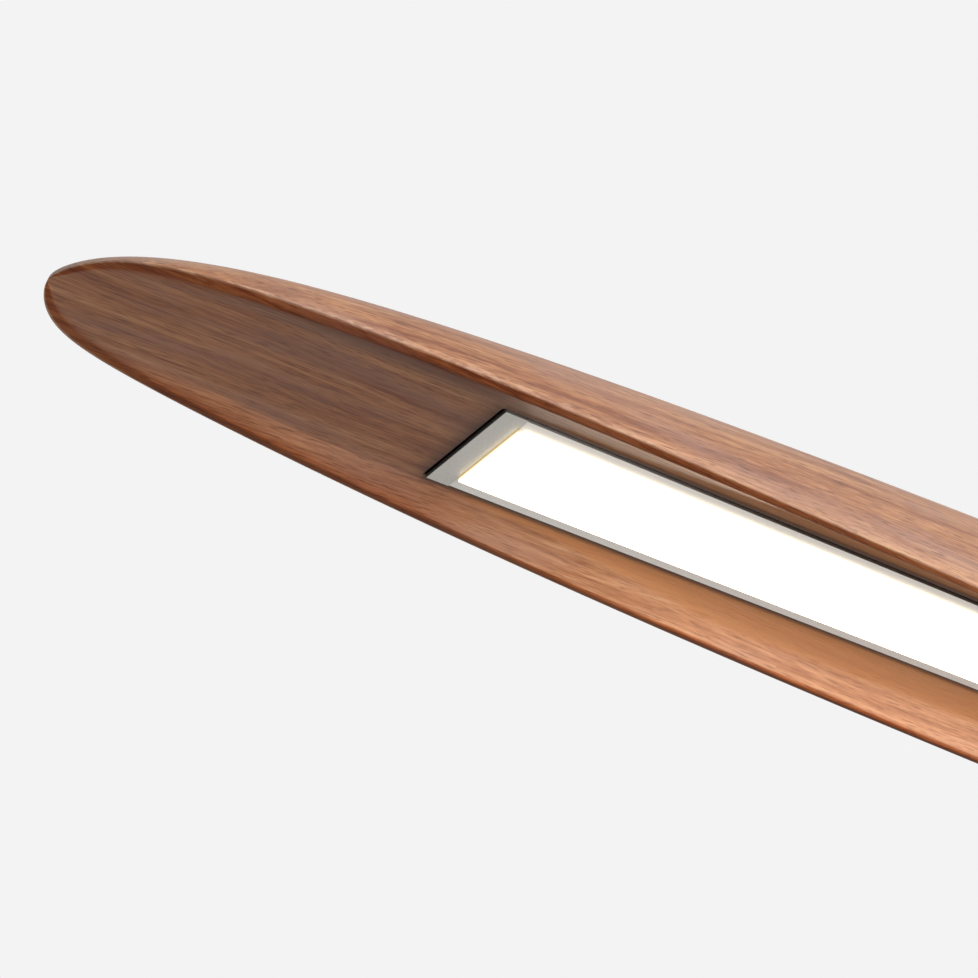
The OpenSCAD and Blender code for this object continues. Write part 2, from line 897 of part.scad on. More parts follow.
lift() beam_body();
lift() light_channel();
lift() diffuser();
lift() end_cap_left();
lift() end_cap_right();
lift() end_cap_screws();
lift() led_board();
lift() led_chips();
lift() channel_clips();
lift() clip_screws();
lift() insert_left();
lift() insert_right();
lift() gripper_base_left();
lift() gripper_base_right();
lift() gripper_sleeve_left();
lift() gripper_sleeve_right();
lift() plunger_left();
lift() plunger_right();
lift() balls_left();
lift() balls_right();
lift() spring_left();
lift() spring_right();
lift() gland_body();
lift() gland_seal();
lift() gland_nut();
lift() terminal_block();
lift() terminal_screws();
lift() block_screw();
lift() lead_grommet();
lift() lead_positive();
lift() lead_negative();
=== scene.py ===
"""Looks of a beam chandelier: a hollowed walnut beam with a lit light bar let into its underside.

Lengths are metres in the part's own frame: +X runs along the beam, +Y across it and +Z up the
suspension wires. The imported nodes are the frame. The beam and the two release springs are built anew.
The bar, the rest of the wire grippers, the cord gland and the wiring keep their shapes and get their
finishes.
"""

import logging
import math
from dataclasses import dataclass, field
from enum import Enum
from functools import cached_property

import bmesh
import bpy
import numpy as np
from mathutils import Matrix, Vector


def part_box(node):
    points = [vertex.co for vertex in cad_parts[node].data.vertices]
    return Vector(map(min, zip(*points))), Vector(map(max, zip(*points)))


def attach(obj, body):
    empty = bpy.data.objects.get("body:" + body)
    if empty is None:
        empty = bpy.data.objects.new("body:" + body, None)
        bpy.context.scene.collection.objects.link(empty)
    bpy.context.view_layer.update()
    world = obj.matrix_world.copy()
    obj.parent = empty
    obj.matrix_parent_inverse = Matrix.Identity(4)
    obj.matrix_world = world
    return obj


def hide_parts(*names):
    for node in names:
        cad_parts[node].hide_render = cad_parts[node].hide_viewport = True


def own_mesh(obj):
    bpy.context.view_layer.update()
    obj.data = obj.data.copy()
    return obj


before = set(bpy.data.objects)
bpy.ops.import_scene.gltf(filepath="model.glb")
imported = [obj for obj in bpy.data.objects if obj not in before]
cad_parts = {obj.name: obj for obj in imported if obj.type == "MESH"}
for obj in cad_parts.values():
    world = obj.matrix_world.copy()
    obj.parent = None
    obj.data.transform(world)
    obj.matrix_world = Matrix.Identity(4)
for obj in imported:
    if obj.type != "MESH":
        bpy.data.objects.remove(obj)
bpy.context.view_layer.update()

MM = 0.001
ROOT_BODY = "beam"
# Points nearer than this fall together: in turned and wound solids, and in the beam's finer skin.
MERGE = 1e-6
SKIN_MERGE = 1e-7
# Least length that a share is taken of, because some widths shrink to nothing at the tips.
TINY = 1e-9
log = logging.getLogger("beam_chandelier")


class Slot(str, Enum):
    """Material slots of the record that new pieces take."""

    WALNUT = "walnut"
    SPRING_STEEL = "spring_steel"


class Side(Enum):
    """The two ends of the beam, named for the side of the middle that they lie on."""

    LEFT = "left"
    RIGHT = "right"


class Zone(Enum):
    """Zones of the beam's skin where the wood looks different, each a weight at every point. Some are
    painted light and shade: the light bar's glow on the cove, shade on the lip and the tips, and shade in
    and beside the groove. The pale edge flecks are partly a painted highlight.
    """

    EDGE_WEAR_AND_HIGHLIGHT = "edge_wear_and_highlight"
    COVE_GLOW = "cove"
    GROOVE_SHADE = "groove"
    LIP_AND_TIP_SHADE = "lip"


def linear(code: str) -> tuple[float, float, float, float]:
    """Turns an sRGB hex colour into linear light: a straight foot, then a power.

    Args:
        code: Six hex digits, such as "c8a087".

    Returns:
        Red, green and blue in linear light, and an alpha of 1.
    """
    share = np.array([int(code[i:i + 2], 16) for i in (0, 2, 4)]) / 255
    light = np.where(share <= 0.04045, share / 12.92, ((share + 0.055) / 1.055) ** 2.4)
    return (*light.tolist(), 1.0)


def set_inputs(tree: bpy.types.NodeTree, node: bpy.types.Node, inputs: dict) -> None:
    """Sets or links a node's inputs.

    Args:
        tree: The tree that holds the node.
        node: The node.
        inputs: A value or an output socket for each input, by its name or number.
    """
    for key, value in inputs.items():
        if isinstance(value, bpy.types.NodeSocket):
            tree.links.new(value, node.inputs[key])
        else:
            node.inputs[key].default_value = value


def add_node(tree: bpy.types.NodeTree, kind: str, inputs: dict | None = None, **settings) -> bpy.types.Node:
    """Adds one node, sets its properties, and sets or links its inputs.

    Args:
        tree: The tree that gets the node.
        kind: Blender's type name of the node.
        inputs: A value or an output socket for each input, by its name or number.
        **settings: Properties of the node itself, such as its operation.

    Returns:
        The new node.
    """
    node = tree.nodes.new(kind)
    for key, value in settings.items():
        setattr(node, key, value)
    set_inputs(tree, node, inputs or {})
    return node


def set_stops(ramp: bpy.types.Node, stops: tuple[tuple[float, str], ...]) -> None:
    """Gives a colour ramp its stops.

    Args:
        ramp: The colour ramp node, fresh from add_node.
        stops: Place from 0 to 1 and sRGB hex colour of each stop, in rising order.
    """
    elements = ramp.color_ramp.elements
    while len(elements) < len(stops):
        elements.new(1.0)
    for element, (place, code) in zip(elements, stops):
        element.position = place
        element.color = linear(code)


@dataclass(frozen=True)
class Finish:
    """A finish that a surface can have, made as one procedural material."""

    name: str

    def material(self) -> bpy.types.Material:
        """Makes the material when it is first asked for.

        Returns:
            The material.
        """
        made = bpy.data.materials.get(self.name)
        if made is None:
            made = bpy.data.materials.new(self.name)
            made.use_nodes = True
            self.paint(made.node_tree, made.node_tree.nodes["Principled BSDF"])
        return made

    def paint(self, tree: bpy.types.NodeTree, shader: bpy.types.Node) -> None:
        """Links the finish's own nodes to the shader.

        Args:
            tree: The material's node tree.
            shader: Its Principled shader.
        """
        raise NotImplementedError

    def dress(self, piece: bpy.types.Object) -> None:
        """Gives a piece this finish all over.

        Args:
            piece: The piece to dress.
        """
        piece.data.materials.clear()
        piece.data.materials.append(self.material())


@dataclass(frozen=True)
class GrainNoise:
    """Noise drawn out along the grain: a feature's size along and across it, and its finer layers."""

    along: float
    across: float
    layers: float
    layer_weight: float

    def draw(self, tree: bpy.types.NodeTree, place: bpy.types.NodeSocket) -> bpy.types.NodeSocket:
        """Draws the noise.

        Args:
            tree: The material's node tree.
            place: Coordinates along and across the grain.

        Returns:
            The noise, about 0.2 to 0.8.
        """
        scaled = add_node(tree, "ShaderNodeMapping", {
            "Vector": place, "Scale": (1 / self.along, 1 / self.across, 1 / self.across)})
        noise = add_node(tree, "ShaderNodeTexNoise", {
            "Vector": scaled.outputs[0], "Scale": 1.0, "Detail": self.layers,
            "Roughness": self.layer_weight})
        return noise.outputs[0]


@dataclass(frozen=True)
class Spots:
    """Spots of another colour: none where the noise is low, and their full share where it is high."""

    noise: GrainNoise
    low: float
    high: float
    share: float
    colour: str

    def draw(self, tree: bpy.types.NodeTree, place: bpy.types.NodeSocket) -> bpy.types.NodeSocket:
        """Draws the spots.

        Args:
            tree: The material's node tree.
            place: Coordinates along and across the grain.

        Returns:
            The share that the spots' colour has.
        """
        noise = self.noise.draw(tree, place)
        return add_node(tree, "ShaderNodeMapRange", {
            0: noise, 1: self.low, 2: self.high, 3: 0.0, 4: self.share}).outputs[0]


@dataclass(frozen=True)
class OiledWalnut(Finish):
    """Walnut, sawn along the grain, sanded and oiled.

    The eye sees soft streaks along the beam that sway a little, fine mottled fibres, short dark
    pores, patches that turn from orange to mauve, partly tone and partly a painted sheen, a satin gloss
    and pale flecks on the edges, partly wear and partly a painted highlight. The cove is matt where the
    oil soaked in, and golden with the light bar's warm glow painted on it. The lip is duller, and the lip
    and the tips' underside are darker and redder with painted shade. The groove is dark with painted
    shade, and a painted contact shadow darkens the wood beside it.
    and the groove, which the cutter scorched, is dark.
    """

    name: str = "oiled_walnut"
    sway_length: float = 190.0 * MM
    sway: float = 9.0 * MM
    tone: GrainNoise = GrainNoise(230.0 * MM, 15.0 * MM, 2.0, 0.5)
    streak: GrainNoise = GrainNoise(120.0 * MM, 2.0 * MM, 3.0, 0.55)
    fibre: GrainNoise = GrainNoise(8.0 * MM, 0.55 * MM, 3.0, 0.6)
    figure_shares: tuple[float, float, float] = (0.27, 0.46, 0.37)
    figure_stops: tuple[tuple[float, str], ...] = (
        (0.42, "814f37"), (0.49, "9b6849"), (0.55, "ac7957"), (0.61, "bc8a66"), (0.69, "ca9c78"))
    # Mauve patches: partly the wood's tone, partly a painted sheen.
    tone_and_sheen_patches: Spots = Spots(GrainNoise(48.0 * MM, 8.0 * MM, 2.0, 0.5), 0.46, 0.66, 0.5, "9c786a")
    pores: Spots = Spots(GrainNoise(5.0 * MM, 0.36 * MM, 1.0, 0.5), 0.55, 0.7, 0.55, "5c3a2a")
    # Pale flecks on the edges: partly wear, partly a painted edge highlight.
    flecks: Spots = Spots(GrainNoise(4.0 * MM, 1.0 * MM, 2.0, 0.6), 0.5, 0.64, 0.5, "d6ac8c")
    # Painted light: the light bar's warm glow, laid on the cove as a golden colour.
    bar_glow_colour: str = "d8915c"
    bar_glow_share: float = 0.7
    cove_matt: float = 0.4
    # Painted shade: a darker, redder tint multiplied over the lip and the tips' underside.
    shade_tint: str = "e4b99c"
    lip_dull: float = 0.4
    # Painted shade: near black inside the groove, fading onto the wood beside it.
    groove_shade_colour: str = "1a110c"
    fibre_range: tuple[float, float] = (0.3, 0.7)
    roughness: tuple[float, float] = (0.39, 0.53)
    gloss_level: float = 0.42
    pore_depth: float = 0.8
    relief: float = 0.12 * MM
    relief_strength: float = 0.25

    def grain(self, tree: bpy.types.NodeTree) -> bpy.types.NodeSocket:
        """Shifts Object coordinates across the grain by slow noise, so that the streaks sway.

        Args:
            tree: The material's node tree.

        Returns:
            The shifted coordinates.
        """
        place = add_node(tree, "ShaderNodeTexCoord").outputs["Object"]
        slow = add_node(tree, "ShaderNodeTexNoise", {
            "Vector": place, "Scale": 1 / self.sway_length, "Detail": 1.0})
        shifted = add_node(tree, "ShaderNodeVectorMath", {
            0: slow.outputs[1], 1: (0.0, self.sway, self.sway), 2: place}, operation="MULTIPLY_ADD")
        return shifted.outputs[0]

    def figure(self, tree: bpy.types.NodeTree,
               sources: tuple[bpy.types.NodeSocket, ...]) -> bpy.types.NodeSocket:
        """Adds up tone, streaks and fibres by their shares, and colours the sum.

        Args:
            tree: The material's node tree.
            sources: The three noises.

        Returns:
            The colour of plain wood.
        """
        total = 0.0
        for source, share in zip(sources, self.figure_shares):
            total = add_node(tree, "ShaderNodeMath", {0: source, 1: share, 2: total},
                             operation="MULTIPLY_ADD").outputs[0]
        ramp = add_node(tree, "ShaderNodeValToRGB", {0: total})
        set_stops(ramp, self.figure_stops)
        return ramp.outputs[0]

    def paint(self, tree: bpy.types.NodeTree, shader: bpy.types.Node) -> None:
        """Lays the spots and the zones over the figure, and works out gloss and bump.

        Args:
            tree: The material's node tree.
            shader: Its Principled shader.
        """
        place = self.grain(tree)
        tone, streak, fibre, tone_and_sheen_patches, pores, flecks = (
            look.draw(tree, place)
            for look in (self.tone, self.streak, self.fibre, self.tone_and_sheen_patches, self.pores, self.flecks))
        zones = {zone: add_node(tree, "ShaderNodeAttribute", attribute_name=zone.value,
                                attribute_type="GEOMETRY").outputs["Fac"] for zone in Zone}
        worn_and_highlit, painted_glow = (
            add_node(tree, "ShaderNodeMath", {0: zones[zone], 1: share}, operation="MULTIPLY").outputs[0]
            for zone, share in ((Zone.EDGE_WEAR_AND_HIGHLIGHT, flecks), (Zone.COVE_GLOW, self.bar_glow_share)))
        colour = self.figure(tree, (tone, streak, fibre))
        for share, code, blend in (
                # Mauve patches: partly the wood's tone, partly a painted sheen.
                (tone_and_sheen_patches, self.tone_and_sheen_patches.colour, "MIX"),
                (pores, self.pores.colour, "MIX"),
                # Pale flecks on the edges: partly wear, partly a painted edge highlight.
                (worn_and_highlit, self.flecks.colour, "MIX"),
                # Painted light: the light bar's warm glow, golden on the cove.
                (painted_glow, self.bar_glow_colour, "MIX"),
                # Painted shade on the lip and on the tips' underside, multiplied in.
                (zones[Zone.LIP_AND_TIP_SHADE], self.shade_tint, "MULTIPLY"),
                # Painted shade inside the groove and a painted contact shadow beside it.
                (zones[Zone.GROOVE_SHADE], self.groove_shade_colour, "MIX")):
            colour = add_node(tree, "ShaderNodeMix", {0: share, 6: colour, 7: linear(code)},
                              data_type="RGBA", blend_type=blend).outputs[2]
        low, high = self.fibre_range
        gloss = add_node(tree, "ShaderNodeMapRange", {
            0: fibre, 1: low, 2: high, 3: self.roughness[0], 4: self.roughness[1]})
        matt = add_node(tree, "ShaderNodeMath", {
            0: zones[Zone.COVE_GLOW], 1: self.cove_matt, 2: gloss.outputs[0]}, operation="MULTIPLY_ADD")
        sheen = add_node(tree, "ShaderNodeMath", {
            0: zones[Zone.LIP_AND_TIP_SHADE], 1: -self.lip_dull, 2: self.gloss_level}, operation="MULTIPLY_ADD")
        relief = add_node(tree, "ShaderNodeMath", {
            0: pores, 1: -self.pore_depth, 2: fibre}, operation="MULTIPLY_ADD")
        bump = add_node(tree, "ShaderNodeBump", {
            "Strength": self.relief_strength, "Distance": self.relief, "Height": relief.outputs[0]})
        set_inputs(tree, shader, {
            "Base Color": colour, "Roughness": matt.outputs[0],
            "Specular IOR Level": sheen.outputs[0], "Normal": bump.outputs[0]})


@dataclass(frozen=True)
class MarkedFinish(Finish):
    """A finish with fine marks of one size along X, Y and Z, seen in its tone, gloss and relief."""

    colour: str
    shade: str
    roughness: float
    mark: tuple[float, float, float]
    relief: float
    spread: float = 0.06
    metallic: float = 0.0
    layers: float = 2.0
    layer_weight: float = 0.5
    mark_range: tuple[float, float] = (0.3, 0.7)
    relief_strength: float = 0.3

    def paint(self, tree: bpy.types.NodeTree, shader: bpy.types.Node) -> None:
        """Draws the marks as noise of their size, into tone, gloss and bump.

        Args:
            tree: The material's node tree.
            shader: Its Principled shader.
        """
        place = add_node(tree, "ShaderNodeTexCoord").outputs["Object"]
        scaled = add_node(tree, "ShaderNodeMapping", {
            "Vector": place, "Scale": tuple(1 / size for size in self.mark)})
        marks = add_node(tree, "ShaderNodeTexNoise", {
            "Vector": scaled.outputs[0], "Scale": 1.0, "Detail": self.layers,
            "Roughness": self.layer_weight}).outputs[0]
        low, high = self.mark_range
        ramp = add_node(tree, "ShaderNodeValToRGB", {0: marks})
        set_stops(ramp, ((low, self.shade), (high, self.colour)))
        gloss = add_node(tree, "ShaderNodeMapRange", {
            0: marks, 1: low, 2: high, 3: self.roughness - self.spread, 4: self.roughness + self.spread})
        bump = add_node(tree, "ShaderNodeBump", {
            "Strength": self.relief_strength, "Distance": self.relief, "Height": marks})
        set_inputs(tree, shader, {
            "Base Color": ramp.outputs[0], "Metallic": self.metallic,
            "Roughness": gloss.outputs[0], "Normal": bump.outputs[0]})


@dataclass(frozen=True)
class WorkedMetal(MarkedFinish):
    """A metal with the fine marks that drawing, turning or plating left on it.

    The eye sees faint streaks in the gloss and the tone along the marks, and no sharp mirror image.
    """

    metallic: float = 1.0
    layers: float = 3.0
    layer_weight: float = 0.6


@dataclass(frozen=True)
class MouldedPlastic(MarkedFinish):
    """A plastic or rubber with the fine grit that its mould was given.

    The eye sees a soft, even gloss broken by the grit, and a slight change of tone over it.
    """


@dataclass(frozen=True, kw_only=True)
class LitOpal(Finish):
    """Opal acrylic, extruded, with light coming through it.

    The eye sees an even white glow that turns to a thin warm line against the end caps. The stops'
    colours are what is left of the full glow there, so the warm ones are dark.
    """

    name: str = "lit_opal_acrylic"
    half_len: float
    face_z: float
    proud: float
    half_w: float = 11.2 * MM
    fall_off: float = 2.0 * MM
    face_share: float = 0.75
    side_fall_off: float = 0.4 * MM
    side_share: float = 0.55
    stops: tuple[tuple[float, str], ...] = (
        (0.0, "5e451c"), (0.25, "787058"), (0.6, "aca18e"), (1.0, "ffeed6"))
    glow: float = 5.5
    colour: str = "bdb8ad"
    roughness: float = 0.5

    def nearness(self, tree: bpy.types.NodeTree, along: bpy.types.NodeSocket, edge: float, run: float,
                 least: float) -> bpy.types.NodeSocket:
        """A share that rises to 1 from both edges inward.

        Args:
            tree: The material's node tree.
            along: Coordinate across the edges.
            edge: Distance of each edge from the middle.
            run: Distance over which the share rises.
            least: The share at the edge.

        Returns:
            The share.
        """
        away = add_node(tree, "ShaderNodeMath", {0: along}, operation="ABSOLUTE")
        return add_node(tree, "ShaderNodeMapRange", {
            0: away.outputs[0], 1: edge, 2: edge - run, 3: least}).outputs[0]

    def paint(self, tree: bpy.types.NodeTree, shader: bpy.types.Node) -> None:
        """Lets the glow turn warm before the end caps and fall off on the cover's sides.

        Args:
            tree: The material's node tree.
            shader: Its Principled shader.
        """
        place = add_node(tree, "ShaderNodeTexCoord").outputs["Object"]
        axes = add_node(tree, "ShaderNodeSeparateXYZ", {0: place})
        inward = self.nearness(tree, axes.outputs[0], self.half_len, self.fall_off, 0.0)
        outward = add_node(tree, "ShaderNodeMapRange", {
            0: axes.outputs[2], 1: self.face_z, 2: self.face_z - self.proud, 3: 0.0, 4: self.face_share})
        depth = add_node(tree, "ShaderNodeMath", {0: inward, 1: outward.outputs[0]}, operation="MAXIMUM")
        ramp = add_node(tree, "ShaderNodeValToRGB", {0: depth.outputs[0]})
        set_stops(ramp, self.stops)
        across = self.nearness(tree, axes.outputs[1], self.half_w, self.side_fall_off, self.side_share)
        glow = add_node(tree, "ShaderNodeVectorMath", {
            0: ramp.outputs[0], "Scale": across}, operation="SCALE")
        set_inputs(tree, shader, {
            "Base Color": linear(self.colour), "Roughness": self.roughness,
            "Emission Color": glow.outputs[0], "Emission Strength": self.glow})


# Anodised aluminium, drawn through a die: pale, satin, with faint lines along the bar.
ALUMINIUM = WorkedMetal("anodised_aluminium", "e4e1dc", "dad7d2", 0.5, (80 * MM, 0.3 * MM, 0.3 * MM),
                        0.01 * MM, metallic=0.75)
# End caps, plastic sprayed with metallic paint: a darker satin grey with fine flakes.
CAP_PAINT = WorkedMetal("metallic_painted_plastic", "c6c3bd", "b4b1ab", 0.45, (0.5 * MM,) * 3,
                        0.01 * MM, spread=0.05, metallic=0.8)
# Nickel plate over turned brass: warm silver, with fine turning rings across the axis.
NICKEL = WorkedMetal("satin_nickel_plate", "cdc8c0", "bfbab2", 0.3, (14 * MM, 14 * MM, 0.12 * MM),
                     0.006 * MM, spread=0.04)
# Zinc plate on steel screws: bluish grey, a little cloudy.
ZINC = WorkedMetal("zinc_plate", "c2c4c8", "a5a8ad", 0.35, (1.2 * MM,) * 3, 0.02 * MM, spread=0.1)
# Spring steel, cold rolled or drawn: darker and brighter in gloss.
SPRING_STEEL = WorkedMetal("spring_steel", "b3b5ba", "94969c", 0.25, (2.0 * MM, 0.3 * MM, 0.3 * MM),
                           0.01 * MM)
# Brass, turned and left plain: yellow with fine rings.
BRASS = WorkedMetal("turned_brass", "d6b568", "bb9548", 0.3, (9 * MM, 9 * MM, 0.15 * MM),
                    0.01 * MM, spread=0.08)
# Terminal block: moulded nylon, off-white and a little waxy.
NYLON = MouldedPlastic("moulded_nylon", "eae8e1", "dedcd4", 0.42, (0.6 * MM,) * 3, 0.02 * MM)
# Seal and grommet: black moulded rubber, matt.
RUBBER = MouldedPlastic("moulded_rubber", "262524", "1b1a1a", 0.7, (0.4 * MM,) * 3, 0.04 * MM)
# Lead insulation: drawn soft plastic, red and black.
LEAD_RED = MouldedPlastic("red_insulation", "b52a22", "9c201a", 0.4, (0.5 * MM,) * 3, 0.01 * MM)
LEAD_BLACK = MouldedPlastic("black_insulation", "2a2a2a", "1d1d1d", 0.4, (0.5 * MM,) * 3, 0.01 * MM)
# Circuit board: white solder mask, printed and baked, with a slight orange-peel.
SOLDER_MASK = MouldedPlastic("white_solder_mask", "eeede8", "e2e1da", 0.38, (1.2 * MM,) * 3, 0.01 * MM)
# Chips: yellow phosphor in silicone, soft and a little glossy.
PHOSPHOR = MouldedPlastic("phosphor_silicone", "f2cf62", "e3b944", 0.32, (0.15 * MM,) * 3, 0.02 * MM)


def grid_faces(rows: int, columns: int) -> np.ndarray:
    """Quads over a grid of points that is numbered row by row, each row joined into a ring.

    Args:
        rows: Number of rows.
        columns: Number of points in a row.

    Returns:
        Four point numbers for each quad.
    """
    row, column = np.meshgrid(np.arange(rows - 1), np.arange(columns), indexing="ij")
    after = (column + 1) % columns
    corners = [row * columns + column, row * columns + after,
               (row + 1) * columns + after, (row + 1) * columns + column]
    return np.stack([corner.ravel() for corner in corners], axis=1)


def mesh_piece(name: str, points: np.ndarray, faces: np.ndarray, merge: float = 0.0) -> bpy.types.Object:
    """Makes an object from points and quads, with smooth faces.

    Args:
        name: The piece's name.
        points: Coordinates, three for each point.
        faces: Point numbers, four for each quad.
        merge: Distance within which points are merged, or 0 to keep them all.

    Returns:
        The new object, linked to the scene.
    """
    mesh = bpy.data.meshes.new(name)
    mesh.from_pydata(points.tolist(), [], faces.tolist())
    piece = bpy.data.objects.new(name, mesh)
    bpy.context.scene.collection.objects.link(piece)
    if merge > 0:
        close_seams(piece, merge)
    mesh.polygons.foreach_set("use_smooth", np.ones(len(mesh.polygons), bool))
    mesh.update()
    return piece


def close_seams(piece: bpy.types.Object, merge: float) -> None:
    """Merges the points of a piece that fall together.

    Args:
        piece: The piece, which keeps its point attributes.
        merge: Distance within which points are merged.
    """
    work = bmesh.new()
    work.from_mesh(piece.data)
    bmesh.ops.remove_doubles(work, verts=work.verts, dist=merge)
    log.info("%s closed: %d open edges", piece.name, sum(not edge.is_manifold for edge in work.edges))
    work.to_mesh(piece.data)
    work.free()


def turned_solid(name: str, profile: np.ndarray, centre: tuple[float, float, float],
                 steps: int = 96) -> bpy.types.Object:
    """A closed solid turned about a vertical axis: each profile point goes round a full circle.

    Args:
        name: The object's name.
        profile: Radius and height of each point, from the axis at the bottom to the axis at the top.
        centre: The point on the axis at height 0.
        steps: Number of points round the axis.

    Returns:
        The new object.
    """
    angle = np.linspace(0, 2 * math.pi, steps, endpoint=False)[None, :]
    radius, height = profile[:, :1], profile[:, 1:]
    points = np.stack([radius * np.cos(angle), radius * np.sin(angle), height + 0 * angle], axis=-1)
    points = points.reshape(-1, 3) + np.array(centre)
    return mesh_piece(name, points, grid_faces(len(profile), steps), MERGE)


def carve(piece: bpy.types.Object, cutters: list[bpy.types.Object]) -> None:
    """Cuts solids out of a piece, and removes the cutters.

    Args:
        piece: The piece that is cut.
        cutters: Closed solids, each cut out in turn.
    """
    for cutter in cutters:
        cut = piece.modifiers.new("cut", "BOOLEAN")
        cut.operation = "DIFFERENCE"
        cut.solver = "EXACT"
        cut.object = cutter
    bpy.context.view_layer.update()
    shaped = piece.evaluated_get(bpy.context.evaluated_depsgraph_get())
    mesh = bpy.data.meshes.new_from_object(shaped)
    piece.modifiers.clear()
    old, piece.data = piece.data, mesh
    mesh.name = piece.name
    bpy.data.meshes.remove(old)
    for cutter in cutters:
        bpy.data.meshes.remove(cutter.data)


@dataclass
class BeamCurves:
    """The beam's curves. Each is a function of u, the share of the half length from the middle.

    A run, a fade or an end is a distance along the beam, a share, a least or a most is a part of another
    size, a slope is a fall across a width, and plan_full, plan_round, plan_tip and tip_edge are powers.
    """

    half_len: float
    shelf_end: float
    half_w: float = 31.0 * MM
    crown_h: float = 38.4 * MM
    rim_drop: float = 15.0 * MM
    rim_run: float = 52.0 * MM
    rim_soft: float = 1.8 * MM
    tip_rise: float = 0.5 * MM
    tip_edge: float = 2.6
    tip_fade: float = 14.0 * MM
    plan_full: float = 4.8
    plan_round: float = 3.4
    plan_tip: float = 2.2
    plan_run: float = 6.0 * MM
    lip_mid: float = 1.8 * MM
    lip_tip: float = 2.8 * MM
    least_trough: float = 0.5
    floor_h: float = 0.5 * MM
    floor_half: float = 16.6 * MM
    flat_share: float = 0.75
    lip_slope: float = 0.2
    shelf_w: float = 7.2 * MM
    shelf_slope: float = 0.42
    shelf_run: float = 100.0 * MM
    least_shelf: float = 0.15
    most_shelf: float = 0.7
    fillet_share: float = 0.04
    fade_from: float = 12.0 * MM
    fade_to: float = 45.0 * MM
    least_fade: float = 0.05

    def from_tip(self, u: np.ndarray, run: float) -> np.ndarray:
        """A share that falls from 1 at the tips by a factor of e in every run."""
        return np.exp(-self.half_len * (1 - u) / run)

    def plan(self, u: np.ndarray) -> np.ndarray:
        """Half width: a superellipse, square at its shoulders and round at the very tips."""
        square = self.plan_round + (self.plan_tip - self.plan_round) * self.from_tip(u, self.plan_run)
        return self.half_w * np.maximum(0, 1 - u ** self.plan_full) ** (1 / square)

    def rim(self, u: np.ndarray) -> np.ndarray:
        """Depth of the rim below the light face: a parabola that levels out softly at the tips."""
        raw = self.rim_drop * (1 - (u / (1 - self.rim_run / self.half_len)) ** 2) + self.tip_rise
        return (raw + np.sqrt(raw ** 2 + self.rim_soft ** 2)) / 2 - self.tip_rise

    def crown(self, u: np.ndarray) -> np.ndarray:
        """Height of the crown above the light face: half an ellipse that ends on the rim's tip."""
        tip = -self.rim(np.ones(1))
        return tip + (self.crown_h - tip) * np.sqrt(np.maximum(0, 1 - u ** 2))

    def edge(self, u: np.ndarray) -> np.ndarray:
        """Power of the outer section: 1, half an ellipse, and higher, with a sharp edge, at the tips."""
        return 1 + (self.tip_edge - 1) * self.from_tip(u, self.tip_fade)

    def lip(self, u: np.ndarray) -> np.ndarray:
        """Width of the flat lip: it grows with the fourth power towards the tips."""
        return self.lip_mid + (self.lip_tip - self.lip_mid) * u ** 4

    def trough(self, u: np.ndarray) -> np.ndarray:
        """Half width of the trough: the plan less the lip, and never less than a share of the plan."""
        return np.maximum(self.plan(u) - self.lip(u), self.least_trough * self.plan(u))

    def lip_low(self, u: np.ndarray) -> np.ndarray:
        """Depth of the lip's inner edge: the rim's, and a slope across the lip that fades at the tips."""
        return self.rim(u) + self.lip_slope * (self.plan(u) - self.trough(u)) * self.fade(u)

    def flat(self, u: np.ndarray) -> np.ndarray:
        """Half width of the trough's flat floor."""
        return np.minimum(self.floor_half, self.flat_share * self.trough(u))

    def ease(self, share: np.ndarray) -> np.ndarray:
        """A smooth step from 0 to 1."""
        share = np.clip(share, 0, 1)
        return share ** 2 * (3 - 2 * share)

    def fade(self, u: np.ndarray) -> np.ndarray:
        """Share of the trough's full depth: all along the beam, and next to none at the tips."""
        share = self.ease((self.half_len * (1 - u) - self.fade_from) / (self.fade_to - self.fade_from))
        return np.maximum(share, self.least_fade)

    def floor(self, u: np.ndarray) -> np.ndarray:
        """Height of the trough's floor: level along the bar, and eased down to the rim at the tips."""
        return -self.rim(u) + (self.floor_h + self.rim(u)) * self.fade(u)

    def shelf(self, u: np.ndarray) -> np.ndarray:
        """Share of the trough's side that the shelf takes: full along the bar, small towards the tips."""
        full = np.minimum(self.shelf_w / np.maximum(self.trough(u) - self.flat(u), TINY), self.most_shelf)
        return np.maximum(
            self.least_shelf, full * self.ease((self.shelf_end - self.half_len * u) / self.shelf_run))

    def side_size(self, u: np.ndarray) -> np.ndarray:
        """Width and height of the trough's side, added up."""
        return self.trough(u) - self.flat(u) + self.floor(u) + self.lip_low(u)

    def side(self, u: np.ndarray, k: np.ndarray) -> tuple[np.ndarray, np.ndarray]:
        """Trough's side: the lower of a sloping shelf and a steeper wall, with a fillet between them.

        Args:
            u: Share of the half length, a column.
            k: Share of the side's width, 0 at the floor and 1 at the lip.

        Returns:
            Y and Z of each point.
        """
        floor, flat, low, share = self.floor(u), self.flat(u), self.lip_low(u), self.shelf(u)
        width, fall = self.trough(u) - flat, floor + low
        drop = np.minimum(self.shelf_slope * width, fall) * share
        shelf_z = floor - drop * k / share
        wall_z = -low + (fall - drop) * (1 - k) / (1 - share)
        gap = np.sqrt((shelf_z - wall_z) ** 2 / 4 + (self.fillet_share * fall) ** 2)
        return flat + width * k, (shelf_z + wall_z) / 2 - gap


